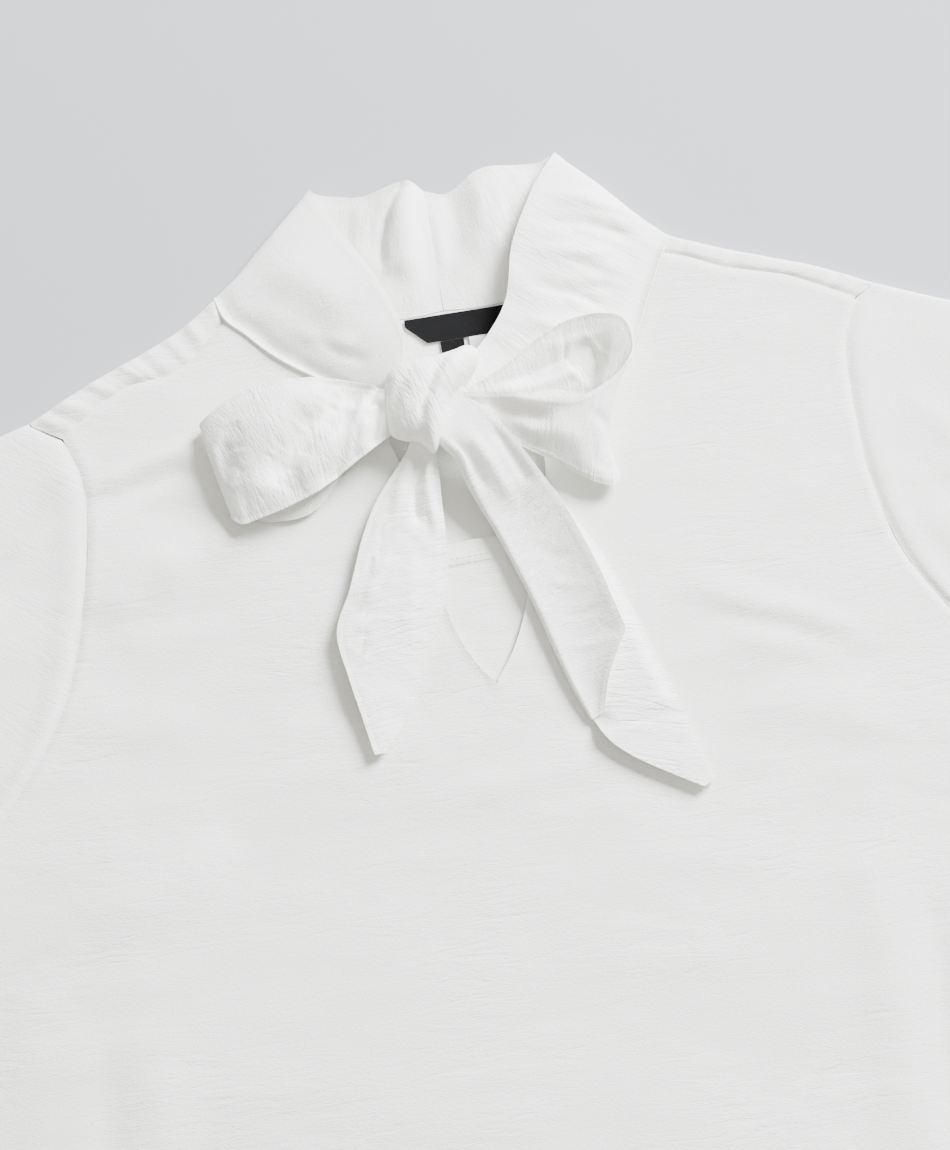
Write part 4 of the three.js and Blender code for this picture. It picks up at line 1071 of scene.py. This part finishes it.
# Each layer of folds holds from a row of the table on, or up to it where the run is negative.
# Laps are folds that lie over their neighbour.
leftLoop = {
    "steps": 190, "columns": 78, "slant": 0, "edge": 0.7, "seed": 81,
    "swell": {"lean": 0.5, "waves": (14, 9), "seed": 83},
    "rows": [
        (-24, -20, 18, -26, -34, 16, 0, 0), (-41, -11, 20, -46, -45, 17, 3, 0),
        (-58, -7, 21.5, -66, -56.5, 17, 5, 0), (-78, -5, 21, -84, -62.5, 15.6, 6, 0),
        (-96, -7, 19, -96, -65, 14, 5, 0), (-110, -13, 16, -104, -66, 12, 3, 0),
        (-117, -17, 12, -108, -62, 10, 1.4, -1), (-112, -15, 8.6, -104, -61, 8, 0, 0),
        (-96, -12, 8, -91, -66, 7.4, 0, 0), (-72, -15, 9, -71, -64, 7.6, 1.4, 0),
        (-48, -21, 10.5, -50, -44, 8.6, 0, 0), (-24, -24, 12, -26, -34, 11, 0, 0),
    ],
    "layers": [{"from": 6.4, "run": -1.0, "folds": [
        ([(-36, -10), (-52, -18), (-66, -29), (-80, -42), (-90, -56)], 7.2, -7.0, 0.2),
        ([(-54, -10), (-74, -16), (-92, -28), (-102, -44)], 8.0, 2.8, 0.3),
        ([(-48, -28), (-66, -42), (-82, -56)], 6.0, 1.8, 0.35),
        ([(-38, -14), (-43, -22), (-49, -30), (-53, -42)], 2.6, 1.2, 0.3),
        ([(-33, -20), (-37, -30), (-41, -42)], 2.2, -3.4, 0.2),
        ([(-32, -20), (-33, -30), (-34, -40)], 2.2, 0.8, 0.3),
        ([(-40, -27), (-44, -36), (-48, -46)], 2.6, 1.6, 0.3),
        ([(-29, -10), (-35, -16), (-41, -24)], 2.2, -4.0, 0.2),
        ([(-43, -9), (-51, -10), (-60, -12)], 1.8, -0.8, 0.35),
        ([(-58, -46), (-72, -54), (-90, -60)], 3.0, -0.8, 0.35),
        ([(-98, -16), (-106, -30), (-106, -50)], 3.4, -0.7, 0.35),
        ([(-104, -18), (-112, -30), (-110, -46)], 2.0, 0.5, 0.35),
        ([(-54, -40), (-62, -50), (-70, -60)], 2.4, -0.9, 0.35),
    ] + acrossFolds([(-48, -16), (-62, -27), (-76, -38), (-88, -50)], 40, 9, 1.1, 0.5, 2.2, 181, 0.9)
      + acrossFolds([(-92, -14), (-102, -28), (-104, -52)], 12, 10, 1.0, 0.4, 0.4, 182),
        "laps": [([(-33, -6), (-37, -18), (-43, -25), (-48, -36), (-54, -50), (-57, -60)], 4.5, 2.4, 12)],
    }, {"from": 6.8, "run": 1.0, "laps": [], "folds": [
        ([(-30, -26), (-60, -30), (-90, -34)], 5.0, 1.2, 0.3),
        ([(-34, -30), (-60, -40), (-84, -50)], 4.0, -0.9, 0.3),
    ]}],
}
rightLoop = {
    "steps": 200, "columns": 78, "slant": 0, "edge": 0.7, "seed": 91,
    "swell": {"lean": -0.5, "waves": (13, 8), "seed": 93},
    "rows": [
        (4, -24, 22, 2, -34, 19, 0, 0), (24, -28, 24, 22, -49, 17, 0.6, 0),
        (39, -33, 25, 38, -60, 15, 1.5, 0), (53, -36, 25.5, 50, -69, 13.4, 2, 0),
        (68, -31, 25, 59, -74, 12, 1, -2), (79, -23, 23.5, 66, -75, 10.6, 0, -6),
        (84, -13, 20.5, 68, -69, 8.6, 0, -8), (82, -1, 18.4, 62, -62, 7.6, 0, -6),
        (72, 4, 17.6, 54, -57, 7.4, -4, 0), (56, 3, 17.4, 43, -52, 7.6, -4.4, 0),
        (41, -3, 16.8, 33, -45, 8.4, -3, 0), (25, -13, 16.8, 22, -38, 10, 0, 0),
        (4, -22, 16.6, 4, -30, 12, 0, 0),
    ],
    "layers": [{"from": 6.2, "run": -1.2, "laps": [], "folds": [
        ([(10, -30), (26, -38), (44, -45)], 4.2, -2.6, 0.3),
        ([(12, -36), (24, -47), (38, -58)], 3.6, -2.0, 0.3),
        ([(18, -30), (36, -35), (62, -36)], 3.4, 1.4, 0.3),
        ([(18, -35), (36, -47), (58, -56)], 4.4, 0.9, 0.3),
        ([(58, -40), (66, -50), (66, -66)], 3.0, -1.0, 0.3),
        ([(54, -66), (60, -70), (66, -72)], 2.4, 0.6, 0.35),
    ]}, {"from": 6.6, "run": 1.2, "laps": [], "folds": [
        ([(14, -22), (34, -18), (60, -10)], 2.6, -1.3, 0.3),
        ([(14, -24), (36, -24), (66, -18)], 2.2, 1.1, 0.3),
        ([(20, -28), (44, -30), (70, -28)], 2.6, -1.2, 0.3),
        ([(40, -8), (56, -6), (74, -4)], 2.4, 0.9, 0.3),
        ([(50, -16), (60, -24), (66, -34)], 2.0, 0.9, 0.3),
        ([(56, -12), (68, -18), (76, -26)], 1.8, -0.9, 0.3),
        ([(58, -6), (64, -14), (70, -26)], 7.0, -4.0, 0.3),
        ([(62, -2), (68, -10), (74, -20)], 1.5, 0.8, 0.3),
        ([(52, -10), (58, -20), (64, -30)], 1.5, -0.8, 0.3),
    ] + acrossFolds([(52, -8), (62, -14), (72, -16), (78, -14)], 22, 12, 1.1, 0.65, 1.2, 183)}],
}


leftTail = {
    "steps": 150, "columns": 56, "slant": 0.6, "edge": 0.5, "seed": 101, "swell": None,
    "rows": [
        (-21, -34, 14, -11, -36, 14, 0, 0), (-25, -44, 13, -13, -48, 13, 1, 0),
        (-32, -52, 9.6, -13, -57, 10, 1.6, 0), (-43, -65, 10, -14, -71, 7.6, 1.6, 0),
        (-52, -81, 11, -15, -87, 6.6, 1.6, 0), (-61, -103, 11.4, -18, -109, 6.3, 1.8, 0),
        (-70, -122, 11.4, -28, -131, 6.2, 1.6, 0), (-68, -143, 11.0, -37, -150, 6.2, 1, 0),
        (-65, -161, 10.2, -45, -164, 6.4, 0.6, 0), (-62, -179, 9.4, -57, -179, 8.4, 0, 0),
    ],
    "layers": [{"from": -1, "run": 1.0, "laps": [], "folds": [
        ([(-16, -44), (-21, -53), (-25, -62), (-27, -80)], 2.3, -3.2, 0.2),
        ([(-22, -44), (-30, -58), (-37, -76)], 3.0, 1.6, 0.3),
        ([(-17, -48), (-19, -64), (-18, -88)], 2.6, 1.8, 0.3),
        ([(-52, -92), (-44, -86), (-36, -76)], 2.2, -0.6, 0.35),
        ([(-58, -108), (-48, -100), (-38, -88)], 2.2, 0.6, 0.35),
        ([(-64, -122), (-52, -112), (-42, -100)], 2.2, -0.6, 0.35),
        ([(-66, -136), (-54, -124), (-44, -110)], 2.6, 0.5, 0.35),
        ([(-30, -90), (-34, -112), (-42, -134)], 4.0, 0.7, 0.35),
    ] + acrossFolds([(-42, -76), (-50, -96), (-56, -116), (-58, -136)], 24, 17, 1.3, 0.5, 0.8, 190)}],
}


def makeBand(name, node, shape, side=1):
    grid, at = bandGrid(shape["rows"], shape["steps"], shape["columns"])
    maps = arcs(grid)
    across, along = maps[..., 0], maps[..., 1]
    x, y = grid[..., 0], grid[..., 1]
    for layer in shape["layers"]:
        share = smooth((at - layer["from"]) / layer["run"])[:, None]
        grid[..., 2] += (creased(x, y, layer["folds"]) + stepped(x, y, layer["laps"])) * share
    slant, swell = shape["slant"], shape["swell"]
    lift = crepeRelief(across + along * slant, along - across * slant, 1.7, shape["seed"])
    lift += bandEdge(maps) * shape["edge"]
    if swell:
        lift += 0.3 * softNoise(across + along * swell["lean"], along, *swell["waves"], swell["seed"])
    grid = grid + normalsOf(grid) * lift[..., None]
    return makeCloth(name, [turnedOver(grid, side)], [turnedOver(maps, side)], "band", node, bandCrepe)


# Right tail, folded lengthwise: lx, ly is the under layer's edge, fx, fy the fold, ux, uy the
# upper flap's edge, z the under layer's height and gape the flap's height above it

rightTail = {
    "steps": 170, "foldColumns": 26, "turn": 8, "endSteps": 44, "endTilt": 4.2,
    "rows": [
        (-1, -19, -16, -38, 0, -18, 16.5, 5), (9, -29, -10, -46, 10, -28, 15.5, 6),
        (20, -43, -4, -54, 20, -43, 13.4, 6), (29, -58, -1, -65, 28, -57, 10.6, 5),
        (36, -70, 4, -78, 35, -70, 7.6, 4), (42, -81, 9, -90, 40, -80, 6.6, 3.6),
        (56, -109, 18, -118, 50, -110, 6.5, 3.6), (62, -128, 22.4, -134.5, 55.8, -134, 6.5, 3.6),
        (64, -135, 24, -141, 57.4, -142, 6.5, 3.6),
        (65.6, -140, 25.4, -146.5, 54.2, -148, 6.5, 3.5), (70, -155, 30, -163, 47, -161, 6.5, 2.8),
        (76, -175, 36, -179, 42, -177, 6.5, 1.2),
    ],
    "end": [(76, -175, 36, -179, 6.5), (79, -188, 43, -191, 6.5), (82, -201, 56, -202, 6.5),
            (86, -214, 80, -217, 6.5)],
    "tilt": [0, 0, 0.8, 2.0, 3.4, 4.6, 5.6, 6.0, 6.0, 5.4, 3.6, 0.8],
    "roll": [0, 0, 0, 0.4, 1.2, 1.8, 2.4, 2.6, 2.6, 2.6, 2.6, 2.4],
    "flap": [
        ([(0, -38), (10, -56), (20, -80)], 3.4, 1.6, 0.3),
        ([(12, -38), (20, -54), (28, -72)], 2.8, -1.6, 0.3),
        ([(-6, -42), (2, -56), (8, -72)], 2.4, -1.2, 0.3),
        ([(20, -96), (34, -104), (46, -106)], 2.4, -0.5, 0.35),
        ([(24, -112), (38, -118), (50, -118)], 2.4, 0.5, 0.35),
        ([(26, -130), (40, -132), (54, -130)], 2.2, -0.5, 0.35),
        ([(30, -146), (42, -146), (52, -142)], 2.2, 0.4, 0.35),
    ],
}


def makeRightTail():
    shape = rightTail
    row = rowsAt(shape["rows"], shape["steps"])[0]
    z, gape = row[:, 6], row[:, 7]
    edge = np.column_stack([row[:, 0], row[:, 1], z])
    fold = np.column_stack([row[:, 2], row[:, 3], z])
    free = np.column_stack([row[:, 4], row[:, 5], z + gape])
    out = fold - edge
    out /= np.linalg.norm(out, axis=1)[:, None]
    inner = fold - out * (gape / 2)[:, None]
    share = even(shape["foldColumns"])
    under = ruled(edge, inner, share)
    # the strip beyond the flap slopes down to the edge
    rolled, tilt = (rowsAt(np.array(shape[name])[:, None], shape["steps"])[0] for name in ("roll", "tilt"))
    under[..., 2] += rolled * smooth(share * 5) * smooth((1 - share) * 4)
    fold = turned(inner, out, (gape / 2)[:, None], z + gape / 2, gape / 2, even(shape["turn"])[1:])
    flap = share[1:]
    top = ruled(fold[-1], free, flap)
    # the flap settles towards the under layer, and is highest at its free edge
    top[..., 2] += tilt * (flap ** 1.6 - 0.3 * np.sin(math.pi * flap))
    top[..., 2] += creased(top[..., 0], top[..., 1], shape["flap"])
    body = np.concatenate([under, np.stack(fold, axis=1), top], axis=1)
    maps = arcs(body)
    lift = crepeRelief(maps[..., 0] - maps[..., 1] * 0.6, maps[..., 1] + maps[..., 0] * 0.6, 1.7, 111)
    across = np.arange(body.shape[1])
    onFlap = smooth((across - shape["foldColumns"] - 2) / 6.0)[None, :]
    lift = lift * onFlap + bandEdge(maps) * onFlap * 0.7
    body = body + normalsOf(body) * (-lift)[..., None]
    endRow = rowsAt(shape["end"], shape["endSteps"])[0]
    endEdge = np.column_stack([endRow[:, 0], endRow[:, 1], endRow[:, 4]])
    endFold = np.column_stack([endRow[:, 2], endRow[:, 3], endRow[:, 4]])
    end = ruled(endEdge, endFold, share)
    blend = smooth(even(shape["endSteps"]) * 5)[:, None, None]
    joined = slice(shape["foldColumns"] + 1)
    end = end * blend + (end - end[:1] + body[-1:, joined]) * (1 - blend)
    t = even(shape["endSteps"])[:, None]
    end[..., 2] += shape["endTilt"] * smooth(t * 4) * (1 - 0.6 * t) * share ** 0.8
    endMaps = arcs(end)
    endMaps[..., 1] += maps[-1, 0, 1]
    endMaps[..., 0] = maps[-1, joined, 0]
    end[0] = body[-1, joined]
    obj = makeCloth("tailRight", [body[:, ::-1], end[:, ::-1]], [maps[:, ::-1], endMaps[:, ::-1]],
                    "band", "tail_right", bandCrepe)


# Knot: the band wrapped once round, seen as a rounded form that follows this outline

knot = {
    "around": 176, "rings": 70, "base": 9.0, "high": 29.0, "middle": 17.0, "fullness": 0.72,
    "lean": (0.08, -0.02), "topFrom": 0.62, "topRun": -0.2,
    "outline": [
        (-24, -5), (-29, -9), (-32, -20), (-33, -32), (-31, -38), (-26, -41), (-19, -43),
        (-14, -49), (-10, -44), (-6, -35), (-1, -26), (6, -19), (12, -12), (14, -6), (10, -2),
        (3, -3), (-5, -4), (-15, -4),
    ],
    "creases": [
        ([(-16, -8), (-21, -14), (-27, -22), (-30, -31)], 2.6, -0.8, 0.25),
        ([(-9, -7), (-15, -15), (-22, -24), (-26, -34)], 3.6, 0.7, 0.3),
        ([(5, -5), (-1, -14), (-7, -25), (-14, -38)], 3.4, 0.9, 0.3),
        ([(-1, -6), (-8, -15), (-15, -27), (-19, -40)], 2.0, -1.5, 0.3),
        ([(-24, -12), (-29, -20), (-31, -30)], 2.0, 0.6, 0.3),
    ],
}


def makeKnot():
    count = knot["around"]
    ring = splineAt(knot["outline"] + [knot["outline"][0]], even(count))[:-1]
    centre = ring[:, :2].mean(axis=0)
    rows = []
    steps = knot["rings"]
    for k in range(steps + 1):
        angle = math.pi * k / steps          # 0 at the top, pi underneath
        reach = math.sin(angle) ** knot["fullness"] if 0 < k < steps else 0.0
        height = math.cos(angle)
        span = knot["high"] - knot["middle"] if height > 0 else knot["middle"] - knot["base"]
        z = knot["middle"] + span * height
        xy = centre + (ring[:, :2] - centre) * reach
        rows.append(np.column_stack([xy, np.full(count, z)]))
    grid = np.stack(rows)
    grid = np.concatenate([grid, grid[:, :1]], axis=1)
    top = smooth((even(steps) - knot["topFrom"]) / knot["topRun"])[:, None]
    grid[..., 2] += creased(grid[..., 0], grid[..., 1], knot["creases"]) * top
    leanX, leanY = knot["lean"]
    slope = (grid[..., 0] - centre[0]) * leanX + (grid[..., 1] - centre[1]) * leanY
    grid[..., 2] += slope * top
    x, y = grid[..., 0], grid[..., 1]
    maps = np.stack([x * 0.6 - y * 0.8, x * 0.8 + y * 0.6], axis=2)
    grid[..., 2] += crepeRelief(maps[..., 0], maps[..., 1], 1.5, 121) * top
    obj = meshObject("knotWrap", [grid], [maps])
    selectOnly(obj)
    bpy.ops.object.shade_smooth_by_angle(angle=math.radians(60))
    sewIn(obj, "knot", bandCrepe)


makeBand("loopLeft", "loop_left", leftLoop)
makeBand("loopRight", "loop_right", rightLoop, -1)
makeBand("tailLeft", "tail_left", leftTail)
makeRightTail()
makeKnot()
print("bow made")


# Stitches: short threads that dip into the cloth at either end

stitch = {"rings": 6, "sides": 6, "arch": 0.26, "lift": 0.04, "first": 1.0}


def stitchRow(name, path, heightAt, material, length=2.3, pitch=3.1, thick=0.34):
    run = lengthsAlong(path)
    starts = np.arange(stitch["first"], run[-1] - length, pitch)
    rings, sides = stitch["rings"], stitch["sides"]
    vertices, faces = [], []
    for s in starts:
        stations = s + np.linspace(0, length, rings)
        x = np.interp(stations, run, path[:, 0])
        y = np.interp(stations, run, path[:, 1])
        dx, dy = x[-1] - x[0], y[-1] - y[0]
        size = math.hypot(dx, dy)
        across = np.array([-dy, dx]) / size
        arch = np.sin(np.linspace(0, math.pi, rings))
        z = heightAt(x, y) + stitch["arch"] * arch + stitch["lift"]
        begun = len(vertices)
        for i in range(rings):
            radius = thick / 2 * (0.55 + 0.45 * arch[i])
            for k in range(sides):
                angle = 2 * math.pi * k / sides
                aside, up = radius * math.cos(angle), radius * math.sin(angle)
                vertices.append((x[i] + across[0] * aside, y[i] + across[1] * aside, z[i] + up))
        for i in range(rings - 1):
            for k in range(sides):
                a, b = begun + i * sides + k, begun + i * sides + (k + 1) % sides
                faces.append((a, a + sides, b + sides, b))
        faces.append(tuple(begun + k for k in range(sides)))
        faces.append(tuple(begun + (rings - 1) * sides + k for k in reversed(range(sides))))
    vertices = np.array(vertices)
    corners = [v for face in faces for v in face]
    obj = addMesh(name, vertices, faces, vertices[corners][:, :2])
    selectOnly(obj)
    bpy.ops.object.mode_set(mode="EDIT")
    bpy.ops.mesh.select_all(action="SELECT")
    bpy.ops.mesh.normals_make_consistent(inside=False)
    bpy.ops.object.mode_set(mode="OBJECT")
    bpy.ops.object.shade_smooth_by_angle(angle=math.radians(50))
    obj.data.materials.append(material)
    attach(obj, "root")


def frontTop(x, y):
    return frontAt(x, y, False) + hemRelief(y, x) + wall["body"] / 2


hemX = np.linspace(-hem["x"], hem["x"], 240)
seamY = hemEdge["y"] + hem["turn"] - 1.0 + hemEdge["rise"] * (hemX / hemEdge["x"]) ** 2
stitchRow("hemStitches", np.column_stack([hemX, seamY]), frontTop, bodyCrepe)


# Modesty panel behind the slit, with a turned and stitched upper hem

modesty = {"x": 46, "top": -88, "foot": -196, "drop": 1.75, "hem": 11.0, "lip": 0.55,
           "groove": (-0.4, 11.0, 0.7),
           "columns": 66, "rows": 76, "rowEase": 1.15, "sag": 0.05, "sagRun": 30,
           "stitches": {"A": 7.6, "B": 10.2}}    # distances of the two rows from the top


def modestyBase(x, y):
    return frontBase(x, y)[0] - modesty["drop"] + 0.15 * softNoise(x, y, 30, 14, 131)


def modestyTop(x, y):
    return modestyBase(x, y) + modesty["lip"] + wall["body"] / 2


def makeModesty():
    us = np.linspace(-modesty["x"], modesty["x"], modesty["columns"] + 1)
    vs = modesty["top"] + (modesty["foot"] - modesty["top"]) * even(modesty["rows"]) ** modesty["rowEase"]
    x, y = np.meshgrid(us, vs)
    y = y - modesty["sag"] * np.abs(x) * smooth((modesty["top"] - y) / modesty["sagRun"] + 1)
    z = modestyBase(x, y)
    fromTop = modesty["top"] - y
    z = z + modesty["lip"] * smooth((modesty["hem"] + 0.4 - fromTop) / 0.8)
    z = z + ridge(fromTop, *modesty["groove"])
    z = z + crepeRelief(x, y, 1.0, 133)
    grid = np.stack([x, y, z], axis=2)
    obj = makeCloth("modestyPanel", [grid], [bodyMap(grid)], "body", "modesty_panel", bodyCrepe)


makeModesty()
for letter, inset in modesty["stitches"].items():
    rowX = np.linspace(-modesty["x"] + 1, modesty["x"] - 1, 60)
    path = np.column_stack([rowX, np.full(len(rowX), modesty["top"] - inset)])
    stitchRow("modestyStitches" + letter, path, modestyTop, bodyCrepe, 2.0, 2.7, 0.3)
print("modesty panel made")


# Bare labels at the back neck

labels = {
    "neckLabel": {"node": "neck_label", "outline": [(-17, 20), (-17, 16.5), (-8, 7.5), (36, 7.5), (36, 20)],
                  "z": 1.9, "thick": 0.5, "flat": (0.053, 0.0125)},
    "sizeTab": {"node": "size_tab", "outline": [(-2, 7.2), (-2, -4.8), (9, -4.8), (9, 7.2)],
                "z": 1.85, "thick": 0.45, "flat": (0.011, 0.012)},
    "careTab": {"node": "care_tab", "outline": [(11.5, 7.2), (11.5, -1.8), (19, -1.8), (19, 7.2)],
                "z": 1.85, "thick": 0.4, "flat": None},    # under 10 mm
}


def makeLabel(name, material):
    shape = labels[name]
    corners = np.array(shape["outline"], float)
    ahead = np.roll(corners, -1, axis=0)
    outline = np.vstack([np.linspace(a, b, 13)[:-1] for a, b in zip(corners, ahead)])
    centre = (corners.min(axis=0) + corners.max(axis=0)) / 2
    rings = [centre + (outline - centre) * part for part in (1.0, 0.97, 0.8, 0.6, 0.4, 0.2, 0.0)]
    grid = np.stack([np.column_stack([r, np.full(len(r), shape["z"])]) for r in rings])
    grid = np.concatenate([grid, grid[:, :1]], axis=1)
    grid[..., 2] += 0.12 * softNoise(grid[..., 0], grid[..., 1], 12, 7, 141)
    obj = meshObject(name, [grid], [bodyMap(grid)], flip=True)
    finishCloth(obj, shape["thick"], 40)
    sewIn(obj, shape["node"], material)


labelSatin = makePlain("labelSatin")
makeLabel("neckLabel", labelSatin)
makeLabel("sizeTab", labelSatin)
makeLabel("careTab", makePlain("careTape"))
print("labels made")
